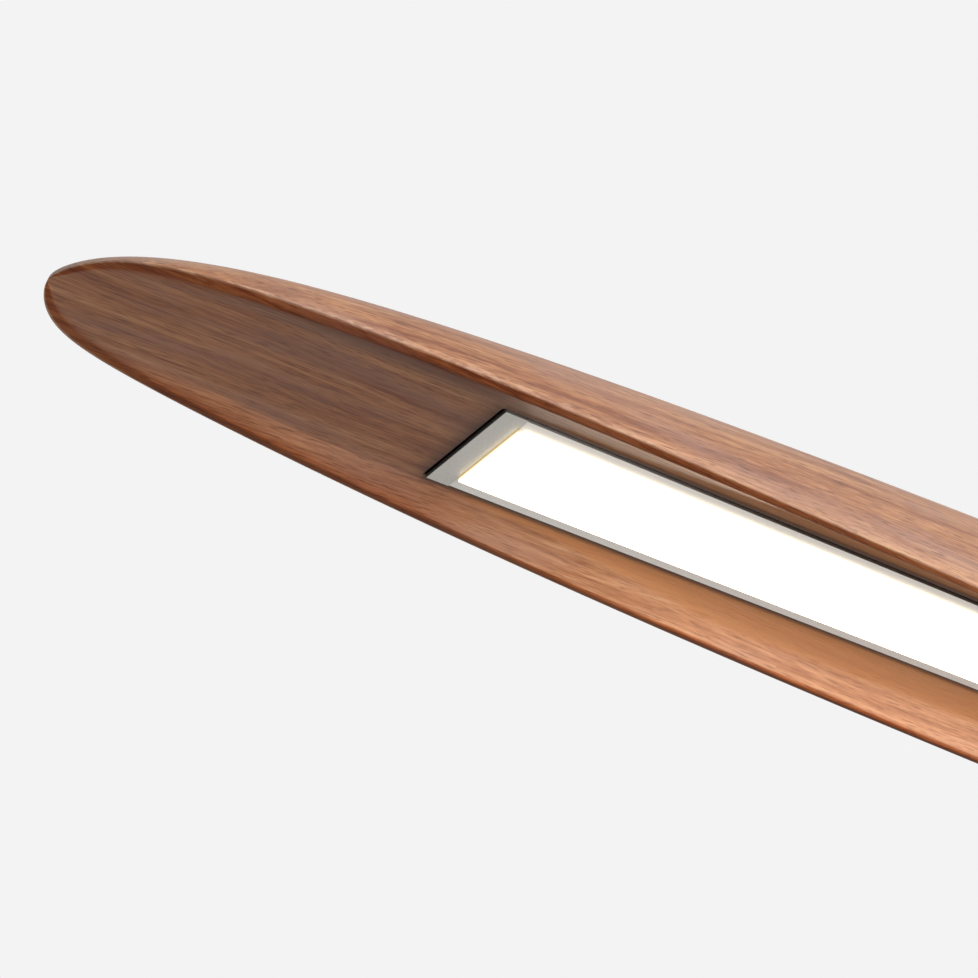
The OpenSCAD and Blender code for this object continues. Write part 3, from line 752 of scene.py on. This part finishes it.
@dataclass(frozen=True)
class Groove:
    """The groove of the light bar: a wide mouth for its flange, and a narrower slot above that.

    The widths of the mouth and the slot are shares of the trough's flat floor, and narrow with it.
    """

    bar_end: float
    end_gap: float = 0.8 * MM
    mouth_share: float = 0.9
    mouth_h: float = 3.0 * MM
    slot_share: float = 0.8
    slot_top: float = 13.0 * MM
    edge_round: float = 0.7 * MM
    end_round: float = 0.5 * MM
    wall_lean: float = 0.05 * MM

    @property
    def half_len(self) -> float:
        """Distance of each end from the middle."""
        return self.bar_end + self.end_gap


@dataclass(frozen=True)
class WoodTints:
    """How far each zone of the skin reaches, and how strongly it shows, painted light and shade among them.
    """

    # Where the pale edge flecks grow in. They are partly wear and partly a painted highlight.
    wear_and_highlight_from: float = 440.0 * MM
    wear_and_highlight_to: float = 520.0 * MM
    least_wear_and_highlight: float = 0.2
    lip_wear_and_highlight: float = 0.4
    # Strength of the painted shade on the lip and on the tips' underside.
    lip_shade: float = 0.95
    tip_shade: float = 0.3
    # Run and share on the wall of the light bar's glow painted on the cove.
    bar_glow_run: float = 24.0 * MM
    wall_glow: float = 0.2
    crease: float = 0.25
    # Painted shade in the groove and a painted contact shadow beside its mouth and past its ends: how far
    # it reaches and how dark it is.
    side_shade_run: float = 1.7 * MM
    end_shade_run: float = 2.4 * MM
    edge_shade: float = 0.6
    end_shade: float = 0.92


@dataclass(frozen=True)
class Band:
    """A stretch of the half section: Y and Z, a row for each section, and the weights of its zones."""

    y: np.ndarray
    z: np.ndarray
    weights: dict[Zone, np.ndarray | float]

    def weight(self, zone: Zone) -> np.ndarray:
        """A zone's weight at every point of the band, 0 where the band isn't in the zone."""
        return np.broadcast_to(self.weights.get(zone, 0.0), self.y.shape)


@dataclass
class BeamSkin:
    """The beam's skin before its bores: sections along X, each in bands from the crown to the groove.

    Y and Z belong to a section's right half, and Z is measured from the light face. What is the same
    all over a section is a column.
    """

    curves: BeamCurves
    groove: Groove
    face_z: float
    tints: WoodTints = field(default_factory=WoodTints)
    rim_round: float = 0.4 * MM
    rim_shave: float = 0.02 * MM
    lip_round: float = 0.8 * MM
    most_round: float = 0.3
    most_shave: float = 0.1
    tip_crowding: float = 3.2
    tip_gap: float = 0.02 * MM
    half_stations: int = 190
    outer_steps: int = 44
    round_steps: int = 7
    lip_steps: int = 5
    cove_steps: int = 40
    mouth_steps: int = 6
    x: np.ndarray = field(init=False)
    cut: np.ndarray = field(init=False)

    def __post_init__(self) -> None:
        """Places the sections: X of each, and how far the groove is cut in there, as columns."""
        self.x, self.cut = (values[:, None] for values in self.stations())

    def stations(self) -> tuple[np.ndarray, np.ndarray]:
        """Places of the sections, crowded towards the tips, and how far the groove is cut in at each.

        Past the groove's end the cut falls to nothing along a quarter circle, which rounds the end's edge.

        Returns:
            X of each section, and the depth of its cut.
        """
        groove, half_len = self.groove, self.curves.half_len
        end, turn = groove.half_len, np.linspace(0, math.pi / 2, self.round_steps)
        x = half_len * (1 - np.linspace(1, 0, self.half_stations) ** self.tip_crowding)
        x = np.append(x[x < half_len - self.tip_gap], half_len)
        wall = end - groove.wall_lean
        inside, outside = x[x < wall], x[x > end + groove.end_round]
        side = np.concatenate([inside, [wall], end + groove.end_round * (1 - np.cos(turn)), outside])
        cut = np.concatenate([np.full(len(inside) + 1, groove.slot_top),
                              groove.end_round * (1 - np.sin(turn)), np.zeros(len(outside))])
        return np.concatenate([-side[:0:-1], side]), np.concatenate([cut[:0:-1], cut])

    @cached_property
    def u(self) -> np.ndarray:
        """Share of the half length, from the middle."""
        return np.abs(self.x) / self.curves.half_len

    @cached_property
    def start(self) -> np.ndarray:
        """Angle at which the outside ends, a little before the rim."""
        shave = self.rim_shave / np.maximum(self.curves.plan(self.u), TINY)
        return np.arccos(1 - np.minimum(shave, self.most_shave))

    @cached_property
    def slope(self) -> np.ndarray:
        """Fall of the lip across its width."""
        curves, u = self.curves, self.u
        return (curves.lip_low(u) - curves.rim(u)) / np.maximum(curves.plan(u) - curves.trough(u), TINY)

    def rounding(self, radius: float) -> np.ndarray:
        """Size of a rounded edge of the lip: its radius, or at the most a share of the lip's width."""
        width = self.curves.plan(self.u) * np.cos(self.start) - self.curves.trough(self.u)
        return np.minimum(radius, self.most_round * np.maximum(width, 0))

    @cached_property
    def first(self) -> np.ndarray:
        """Share of the trough's side that is left below the lip's rounded inner edge."""
        taken = self.rounding(self.lip_round) / np.maximum(self.curves.side_size(self.u), TINY)
        return 1 - np.minimum(taken, self.most_shave)

    @cached_property
    def mouth(self) -> np.ndarray:
        """Half width of the groove's mouth."""
        return self.groove.mouth_share * self.curves.flat(self.u)

    @cached_property
    def ease(self) -> np.ndarray:
        """Size of the mouth's rounded edge."""
        return np.minimum(self.groove.edge_round, self.cut)

    @cached_property
    def wear_and_highlight(self) -> np.ndarray:
        """Weight of the pale edge flecks, partly wear and partly a painted highlight, which grows towards
        the tips.
        """
        share = (np.abs(self.x) - self.tints.wear_and_highlight_from) / (self.tints.wear_and_highlight_to - self.tints.wear_and_highlight_from)
        return np.clip(share, self.tints.least_wear_and_highlight, 1)

    @cached_property
    def bar_glow(self) -> np.ndarray:
        """Weight of the light bar's warm glow painted on the cove: full along the bar and nothing past the
        groove's end.
        """
        return self.curves.ease((self.groove.half_len - np.abs(self.x)) / self.tints.bar_glow_run)

    @cached_property
    def past(self) -> np.ndarray:
        """Distance past the groove's end, in runs of the painted shade there."""
        return np.maximum(np.abs(self.x) - self.groove.half_len, 0) / self.tints.end_shade_run

    def bend(self, start: tuple, middle: tuple, end: tuple, steps: int) -> tuple[np.ndarray, np.ndarray]:
        """Points of a quadratic curve that rounds a corner, without its first point.

        Args:
            start: Y and Z of the curve's first point, a column each.
            middle: The corner that it rounds.
            end: Its last point.
            steps: Number of points with the first one.

        Returns:
            Y and Z of the points, a row for each section.
        """
        k = np.linspace(0, 1, steps)[None, 1:]
        shares = (1 - k) ** 2, 2 * k * (1 - k), k ** 2
        return tuple(sum(share * point[axis] for share, point in zip(shares, (start, middle, end)))
                     for axis in (0, 1))

    def outside(self) -> Band:
        """The outside: a quarter ellipse, with its height raised to a power near the tips.

        Returns:
            The band from the crown to the rim.
        """
        curves, u = self.curves, self.u
        rim = curves.rim(u)
        turn = math.pi / 2 - (math.pi / 2 - self.start) * np.linspace(0, 1, self.outer_steps)
        y = curves.plan(u) * np.cos(turn)
        z = -rim + (curves.crown(u) + rim) * np.sin(turn) ** curves.edge(u)
        worn_and_highlit = np.zeros_like(y)
        worn_and_highlit[:, -1:] = self.wear_and_highlight
        return Band(y, z, {Zone.EDGE_WEAR_AND_HIGHLIGHT: worn_and_highlit})

    def rim(self, outside: Band) -> Band:
        """The rim: a quadratic curve round the corner between the outside and the lip.

        Args:
            outside: The band before it.

        Returns:
            The band from the outside to the lip.
        """
        plan, rim, corner = self.curves.plan(self.u), self.curves.rim(self.u), self.rounding(self.rim_round)
        y, z = self.bend((outside.y[:, -1:], outside.z[:, -1:]), (plan, -rim),
                         (plan - corner, -rim - self.slope * corner), self.round_steps)
        # The rim's pale flecks: partly wear, partly a painted highlight.
        return Band(y, z, {Zone.EDGE_WEAR_AND_HIGHLIGHT: self.wear_and_highlight})

    def lip(self) -> Band:
        """The lip: a straight slope from the rim down to its inner edge.

        Returns:
            The band from the rim to the rounded inner edge.
        """
        curves, u = self.curves, self.u
        trough = curves.trough(u)
        first, last = curves.plan(u) - self.rounding(self.rim_round), trough + self.rounding(self.lip_round)
        y = first + (last - first) * np.linspace(0, 1, self.lip_steps)[None, 1:]
        z = -curves.lip_low(u) + self.slope * (y - trough)
        worn_and_highlit = np.zeros_like(y)
        worn_and_highlit[:, :1] = self.tints.lip_wear_and_highlight * self.wear_and_highlight
        # The lip gets painted shade, and pale flecks at its outer edge.
        return Band(y, z, {Zone.EDGE_WEAR_AND_HIGHLIGHT: worn_and_highlit, Zone.LIP_AND_TIP_SHADE: self.tints.lip_shade})

    def inner_edge(self) -> Band:
        """The lip's inner edge: a quadratic curve round the corner between the lip and the trough.

        Returns:
            The band from the lip to the trough's side.
        """
        curves, u, inner = self.curves, self.u, self.rounding(self.lip_round)
        trough, low = curves.trough(u), curves.lip_low(u)
        y, z = self.bend((trough + inner, -low + self.slope * inner), (trough, -low),
                         curves.side(u, self.first), self.round_steps)
        # The inner edge gets the lip's painted shade.
        return Band(y, z, {Zone.LIP_AND_TIP_SHADE: self.tints.lip_shade})

    def cove(self) -> Band:
        """The trough's side: the light bar's glow painted golden on the shelf, painted shade where it nears
        the tips, and painted shade beside the groove.

        Returns:
            The band from the inner edge to the flat floor.
        """
        curves, tints = self.curves, self.tints
        k = self.first * np.linspace(1, 0, self.cove_steps)[None, 1:]
        y, z = curves.side(self.u, k)
        on_shelf = curves.ease((curves.shelf(self.u) - k) / tints.crease + 0.5)
        # Painted contact shadow on the wood beside the groove's mouth and past its end.
        beside = np.maximum(y - self.mouth - self.ease, 0) / tints.side_shade_run
        return Band(y, z, {
            # Painted light: the light bar's glow, full on the shelf and weaker on the wall.
            Zone.COVE_GLOW: self.bar_glow * np.maximum(on_shelf, tints.wall_glow),
            # Painted shade towards the tips, darkest next to the lip.
            Zone.LIP_AND_TIP_SHADE: (1 - self.bar_glow) * (tints.tip_shade + (tints.lip_shade - tints.tip_shade) * k ** 2),
            Zone.GROOVE_SHADE: tints.edge_shade * np.exp(-np.hypot(self.past, beside))})

    def slot(self, cove: Band) -> Band:
        """The groove: a rounded edge, the mouth's wall and step, then the slot's wall and top.

        Args:
            cove: The band before it.

        Returns:
            The band from the flat floor to the middle of the beam.
        """
        groove, tints, mouth, ease = self.groove, self.tints, self.mouth, self.ease
        floor, shallow = cove.z[:, -1:], self.cut < groove.slot_top
        slot = groove.slot_share * self.curves.flat(self.u)
        step, top = (np.where(shallow, floor + self.cut, height)
                     for height in (groove.mouth_h, groove.slot_top))
        edge_y, edge_z = self.bend((mouth + ease, floor), (mouth, floor), (mouth, floor + ease),
                                   self.mouth_steps)
        y = np.concatenate([mouth + ease, edge_y, mouth, slot, slot, slot / 2, 0 * slot], axis=1)
        z = np.concatenate([floor, edge_z, step, step, top, top, top], axis=1)
        # Painted shade in the groove, and a painted contact shadow past its ends.
        painted_shade = np.where(shallow, tints.end_shade * np.exp(-self.past), 1.0) * np.ones(y.shape)
        painted_shade[:, :self.mouth_steps] *= np.linspace(tints.edge_shade, 1, self.mouth_steps)
        # The tips' underside gets painted shade.
        return Band(y, z, {Zone.LIP_AND_TIP_SHADE: (1 - self.bar_glow) * tints.tip_shade, Zone.GROOVE_SHADE: painted_shade})

    def ring(self, parts: list[np.ndarray], sign: float) -> np.ndarray:
        """Joins the bands' values, then adds the left half backwards, with the sign that a mirror gives."""
        right = np.concatenate(parts, axis=1)
        return np.concatenate([right, sign * right[:, -2:0:-1]], axis=1)

    def build(self) -> bpy.types.Object:
        """Builds the closed skin: both halves of every section, joined from tip to tip, each tip a point.

        Returns:
            The new object, with a weight for each zone at its points.
        """
        outside, cove = self.outside(), self.cove()
        bands = [outside, self.rim(outside), self.lip(), self.inner_edge(), cove, self.slot(cove)]
        y = self.ring([band.y for band in bands], -1.0)
        z = self.ring([band.z for band in bands], 1.0)
        points = np.stack([np.broadcast_to(self.x, y.shape), y, z + self.face_z], axis=-1)
        points[[0, -1]] = points[[0, -1]].mean(axis=1, keepdims=True)
        piece = mesh_piece("walnut_beam", points.reshape(-1, 3), grid_faces(*y.shape)[:, ::-1])
        for zone in Zone:
            weight = self.ring([band.weight(zone) for band in bands], 1.0)
            layer = piece.data.attributes.new(zone.value, "FLOAT", "POINT")
            layer.data.foreach_set("value", weight.ravel().astype(np.float32))
        close_seams(piece, SKIN_MERGE)
        return piece


@dataclass(frozen=True)
class BeamBores:
    """What is cut out of the beam: stepped bores for the grippers and the gland, and a terminal pocket."""

    slot_z: float
    stud_len: float = 10.0 * MM
    seat_r: float = 7.3 * MM
    insert_r: float = 4.75 * MM
    insert_h: float = 12.0 * MM
    tail_r: float = 2.0 * MM
    gland_top: float = 9.5 * MM
    gland_seat_r: float = 8.6 * MM
    gland_r: float = 5.0 * MM
    pocket_from: float = -10.0 * MM
    pocket_to: float = 72.0 * MM
    pocket_half_w: float = 11.0 * MM
    pocket_h: float = 13.0 * MM
    clear_h: float = 20.0 * MM
    overlap: float = 1.0 * MM

    def stepped_bore(self, name: str, radii: tuple[float, ...], heights: tuple[float, ...],
                     centre: tuple[float, float, float]) -> bpy.types.Object:
        """A bore that widens upward: each radius runs from its own height up to the next one's.

        Args:
            name: The cutter's name.
            radii: Radius of each step, the lowest first.
            heights: Height above the seat at which each step begins.
            centre: Middle of the seat.

        Returns:
            The solid to cut out.
        """
        tops = (*heights[1:], self.clear_h)
        walls = [(radius, height) for radius, *ends in zip(radii, heights, tops) for height in ends]
        profile = np.array([(0, heights[0]), *walls, (0, self.clear_h)])
        return turned_solid(name, profile, centre)

    def gripper_cutter(self, side: Side) -> bpy.types.Object:
        """The bore under a wire gripper: passage for the wire's tail, insert and seat.

        Args:
            side: The end of the beam.

        Returns:
            The solid to cut out.
        """
        low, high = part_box(f"gripper_base_{side.value}")
        seat_z = low.z + self.stud_len
        return self.stepped_bore(f"seat_cutter_{side.value}", (self.tail_r, self.insert_r, self.seat_r),
                                 (self.slot_z - seat_z - self.overlap, -self.insert_h, 0),
                                 ((low.x + high.x) / 2, 0.0, seat_z))

    def gland_cutter(self) -> bpy.types.Object:
        """The bore under the cord gland, from the terminal pocket up to its seat.

        Returns:
            The solid to cut out.
        """
        seat_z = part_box("gland_body")[1].z - self.gland_top
        low = self.slot_z + self.pocket_h - seat_z - self.overlap
        return self.stepped_bore("gland_cutter", (self.gland_r, self.gland_seat_r), (low, 0),
                                 (0.0, 0.0, seat_z))

    def pocket_cutter(self) -> bpy.types.Object:
        """The terminal pocket: a box above the slot, as a grid of two rings closed by rings of no size.

        Returns:
            The solid to cut out.
        """
        low, high = self.slot_z - self.overlap, self.slot_z + self.pocket_h
        x0, x1, half = self.pocket_from, self.pocket_to, self.pocket_half_w
        ring = np.array([(x0, -half), (x1, -half), (x1, half), (x0, half)])
        middle = np.broadcast_to(ring.mean(axis=0), ring.shape)
        layers = [(middle, low), (ring, low), (ring, high), (middle, high)]
        points = np.concatenate([np.column_stack([flat, np.full(len(ring), z)]) for flat, z in layers])
        return mesh_piece("pocket_cutter", points, grid_faces(len(layers), len(ring)), MERGE)

    def cutters(self) -> list[bpy.types.Object]:
        """All the solids to cut out, in turn."""
        return [*(self.gripper_cutter(side) for side in Side), self.pocket_cutter(), self.gland_cutter()]


@dataclass
class WalnutBeam:
    """The hollowed beam: its skin with the bores cut out, oiled all over."""

    skin: BeamSkin
    bores: BeamBores
    sharp_degrees: float = 38.0
    finish: OiledWalnut = field(default_factory=OiledWalnut)

    def build(self) -> bpy.types.Object:
        """Builds the beam, dresses it and puts it in the place of its node.

        Returns:
            The finished piece.
        """
        piece = self.skin.build()
        carve(piece, self.bores.cutters())
        piece.data.set_sharp_from_angle(angle=math.radians(self.sharp_degrees))
        self.finish.dress(piece)
        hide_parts("beam_body")
        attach(piece, ROOT_BODY)
        return piece


@dataclass
class SubAssembly:
    """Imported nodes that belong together. Their shapes are right, so they only get their finishes."""

    def finishes(self) -> dict[str, Finish]:
        """Returns the finish of each node by its name."""
        raise NotImplementedError

    def dress(self) -> list[bpy.types.Object]:
        """Gives every node of the sub-assembly its finish.

        Returns:
            The dressed nodes.
        """
        dressed = []
        for node, finish in self.finishes().items():
            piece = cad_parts[node]
            finish.dress(piece)
            dressed.append(piece)
        return dressed


@dataclass
class LightBar(SubAssembly):
    """The light bar: channel, diffuser, end caps and their screws, board, chips, clips and their screws."""

    face_z: float

    def finishes(self) -> dict[str, Finish]:
        """Chooses the finishes. The diffuser's glow takes its sizes from the frame.

        Returns:
            The finish of each node by its name.
        """
        low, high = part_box("diffuser")
        glow = LitOpal(half_len=high.x, face_z=self.face_z, proud=self.face_z - low.z)
        return {
            "light_channel": ALUMINIUM, "diffuser": glow, "end_cap_left": CAP_PAINT,
            "end_cap_right": CAP_PAINT, "end_cap_screws": ZINC, "led_board": SOLDER_MASK,
            "led_chips": PHOSPHOR, "channel_clips": SPRING_STEEL, "clip_screws": ZINC}


@dataclass
class ReleaseSpring:
    """The coil spring under a gripper's release plunger, which is pressed flat with it."""

    side: Side
    wire_r: float = 0.3 * MM
    turns: int = 4
    travel: float = 2.5 * MM
    steps: int = 145
    wire_sides: int = 14
    finish: WorkedMetal = SPRING_STEEL

    def build(self) -> bpy.types.Object:
        """Winds the wire where its node stood.

        The path is a helix that climbs evenly. The wire's circle lies across it, between the direction
        away from the axis and the one square to that and to the path, and shrinks to a point at both ends.

        Returns:
            The finished piece.
        """
        node = f"spring_{self.side.value}"
        low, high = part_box(node)
        mean_r, climb = (high.x - low.x) / 2 - self.wire_r, high.z - low.z - 2 * self.wire_r
        share = np.concatenate([[0.0], np.linspace(0, 1, self.steps), [1.0]])[:, None, None]
        wire = np.concatenate([[0.0], np.full(self.steps, self.wire_r), [0.0]])[:, None, None]
        sweep = 2 * math.pi * self.turns
        angle = sweep * share
        away = np.concatenate([np.cos(angle), np.sin(angle), 0 * angle], axis=-1)
        rise = climb / (sweep * mean_r) + 0 * angle
        along = np.concatenate([-np.sin(angle), np.cos(angle), rise], axis=-1)
        across = np.cross(away, along / np.linalg.norm(along, axis=-1, keepdims=True))
        turn = np.linspace(0, 2 * math.pi, self.wire_sides, endpoint=False)[None, :, None]
        points = mean_r * away + wire * (np.cos(turn) * away - np.sin(turn) * across)
        points[..., 2] += (share * climb + self.wire_r)[..., 0]
        foot = ((low.x + high.x) / 2, (low.y + high.y) / 2, low.z)
        piece = mesh_piece(f"release_{node}", (points + np.array(foot)).reshape(-1, 3),
                           grid_faces(*points.shape[:2]), MERGE)
        self.finish.dress(piece)
        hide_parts(node)
        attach(piece, ROOT_BODY)
        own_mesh(piece)
        return piece


@dataclass
class WireGripper(SubAssembly):
    """One wire gripper with its insert: base, sleeve, release plunger, balls and spring."""

    side: Side

    def finishes(self) -> dict[str, Finish]:
        """Returns the finish of each node on this gripper's side."""
        kinds = {"insert": BRASS, "gripper_base": NICKEL, "gripper_sleeve": NICKEL, "plunger": NICKEL,
                 "balls": SPRING_STEEL}
        return {f"{kind}_{self.side.value}": finish for kind, finish in kinds.items()}

    def dress(self) -> list[bpy.types.Object]:
        """Gives every node its finish, and winds the spring anew."""
        return [*super().dress(), ReleaseSpring(self.side).build()]


@dataclass
class CordGland(SubAssembly):
    """The cord gland on the crown: body, seal and nut."""

    def finishes(self) -> dict[str, Finish]:
        """Returns the finish of each node."""
        return {"gland_body": NICKEL, "gland_seal": RUBBER, "gland_nut": NICKEL}


@dataclass
class Wiring(SubAssembly):
    """The terminal block with its screws, the grommet and the two leads."""

    def finishes(self) -> dict[str, Finish]:
        """Returns the finish of each node."""
        return {"terminal_block": NYLON, "terminal_screws": BRASS, "block_screw": ZINC,
                "lead_grommet": RUBBER, "lead_positive": LEAD_RED, "lead_negative": LEAD_BLACK}


@dataclass(frozen=True)
class SoftBox:
    """A soft lamp that faces the part's origin. Azimuth and elevation are degrees, as for the camera."""

    name: str
    watts: float
    size: tuple[float, float]
    azimuth: float
    elevation: float
    distance: float


@dataclass
class Studio:
    """Floor, world, lamps and camera. The camera stands below the beam and looks up at one end."""

    face_z: float
    azimuth: float = -35.11
    elevation: float = -33.65
    lens_mm: float = 93.02
    clip: tuple[float, float] = (0.01, 200.0)
    aim: tuple[float, float] = (-487.27 * MM, 10.84 * MM)
    distance: float = 553.19 * MM
    floor_z: float = -3.7
    floor_half: float = 40.0
    floor_shown: float = 0.8
    floor_paint: str = "d9d9d9"
    backdrop: str = "f3f3f3"
    daylight: str = "ffffff"
    ambient: float = 0.178
    boxes: tuple[SoftBox, ...] = (
        SoftBox("key_box", 71.0, (2.4, 1.2), 8.0, -16.0, 2.2),
        SoftBox("gloss_box", 16.0, (1.6, 1.6), 32.0, 28.0, 2.2),
        SoftBox("back_box", 14.0, (2.4, 1.4), 160.0, 20.0, 2.4))

    def seen_share(self, tree: bpy.types.NodeTree, camera_share: float) -> bpy.types.NodeSocket:
        """How much of the pale backdrop a ray gets: a share to the eye, all to gloss and to glass.

        Args:
            tree: The node tree.
            camera_share: The share that a camera ray gets.

        Returns:
            The share as a socket.
        """
        path = add_node(tree, "ShaderNodeLightPath")
        eye = add_node(tree, "ShaderNodeMath", {
            0: path.outputs["Is Camera Ray"], 1: camera_share}, operation="MULTIPLY")
        gloss = add_node(tree, "ShaderNodeMath", {
            0: path.outputs["Is Glossy Ray"], 1: path.outputs["Is Transmission Ray"]}, operation="MAXIMUM")
        return add_node(tree, "ShaderNodeMath", {
            0: eye.outputs[0], 1: gloss.outputs[0]}, operation="MAXIMUM").outputs[0]

    def world(self) -> None:
        """Shows the pale backdrop to the eye, to gloss and to glass, and a softer light to the rest."""
        world = bpy.data.worlds.new("studio_world")
        world.use_nodes = True
        bpy.context.scene.world = world
        tree = world.node_tree
        tree.nodes.clear()
        soft = add_node(tree, "ShaderNodeBackground", {0: linear(self.daylight), 1: self.ambient})
        shown = add_node(tree, "ShaderNodeBackground", {0: linear(self.backdrop), 1: 1.0})
        mixed = add_node(tree, "ShaderNodeMixShader", {
            0: self.seen_share(tree, 1.0), 1: soft.outputs[0], 2: shown.outputs[0]})
        add_node(tree, "ShaderNodeOutputWorld", {0: mixed.outputs[0]})

    def floor(self) -> None:
        """Lays a plain pale floor far below, which keeps the beam's shadow."""
        half = self.floor_half
        points = np.array([(-half, -half), (half, -half), (half, half), (-half, half)])
        floor = mesh_piece("studio_floor", np.column_stack([points, np.full(len(points), self.floor_z)]),
                           np.arange(len(points))[None, :])
        material = bpy.data.materials.new("studio_floor_paint")
        material.use_nodes = True
        tree = material.node_tree
        tree.nodes.clear()
        paint = add_node(tree, "ShaderNodeBsdfDiffuse", {0: linear(self.floor_paint)})
        shown = add_node(tree, "ShaderNodeEmission", {0: linear(self.backdrop), 1: 1.0})
        mixed = add_node(tree, "ShaderNodeMixShader", {
            0: self.seen_share(tree, self.floor_shown), 1: paint.outputs[0], 2: shown.outputs[0]})
        add_node(tree, "ShaderNodeOutputMaterial", {0: mixed.outputs[0]})
        floor.data.materials.append(material)

    def towards(self, azimuth: float, elevation: float) -> np.ndarray:
        """Direction from the object towards a viewer at that azimuth and elevation, in degrees."""
        a, e = math.radians(azimuth), math.radians(elevation)
        return np.array([math.sin(a) * math.cos(e), -math.cos(a) * math.cos(e), math.sin(e)])

    def stand(self, name: str, data: bpy.types.ID, place: np.ndarray, back: np.ndarray) -> bpy.types.Object:
        """Puts a lamp or a camera in its place and turns its back to the given direction.

        Args:
            name: The object's name.
            data: The lamp's or the camera's data.
            place: Where it stands.
            back: Direction from what it faces towards it.

        Returns:
            The new object.
        """
        stood = bpy.data.objects.new(name, data)
        bpy.context.scene.collection.objects.link(stood)
        stood.location = place.tolist()
        stood.rotation_mode = "QUATERNION"
        stood.rotation_quaternion = Vector((-back).tolist()).to_track_quat("-Z", "Y")
        return stood

    def lamps(self) -> None:
        """Hangs the soft boxes round the beam."""
        for box in self.boxes:
            data = bpy.data.lights.new(box.name, "AREA")
            data.shape = "RECTANGLE"
            data.size, data.size_y = box.size
            data.energy = box.watts
            back = self.towards(box.azimuth, box.elevation)
            self.stand(box.name, data, back * box.distance, back)

    def camera(self) -> None:
        """Sets the camera at the photograph's angle, aimed at a point on the light face."""
        data = bpy.data.cameras.new("main_camera")
        data.lens = self.lens_mm
        data.clip_start, data.clip_end = self.clip
        back = self.towards(self.azimuth, self.elevation)
        place = np.array([*self.aim, self.face_z]) + back * self.distance
        bpy.context.scene.camera = self.stand("main_camera", data, place, back)

    def build(self) -> None:
        """Builds the whole studio."""
        bpy.context.scene.view_settings.view_transform = "Standard"
        self.world()
        self.floor()
        self.lamps()
        self.camera()


def main() -> None:
    """Builds the studio and the dressed object."""
    logging.basicConfig(level=logging.INFO, format="%(message)s")
    face_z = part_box("light_channel")[0].z
    half_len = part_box("beam_body")[1].x
    groove = Groove(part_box("end_cap_right")[1].x)
    Studio(face_z).build()
    skin = BeamSkin(BeamCurves(half_len, groove.half_len), groove, face_z)
    beam = WalnutBeam(skin, BeamBores(face_z + groove.slot_top)).build()
    log.info("%s: %d faces", beam.name, len(beam.data.polygons))
    groups = [LightBar(face_z), *(WireGripper(side) for side in Side), CordGland(), Wiring()]
    for group in groups:
        for piece in group.dress():
            log.info("%s: %s", piece.name, piece.data.materials[0].name)


if __name__ == "__main__":
    main()
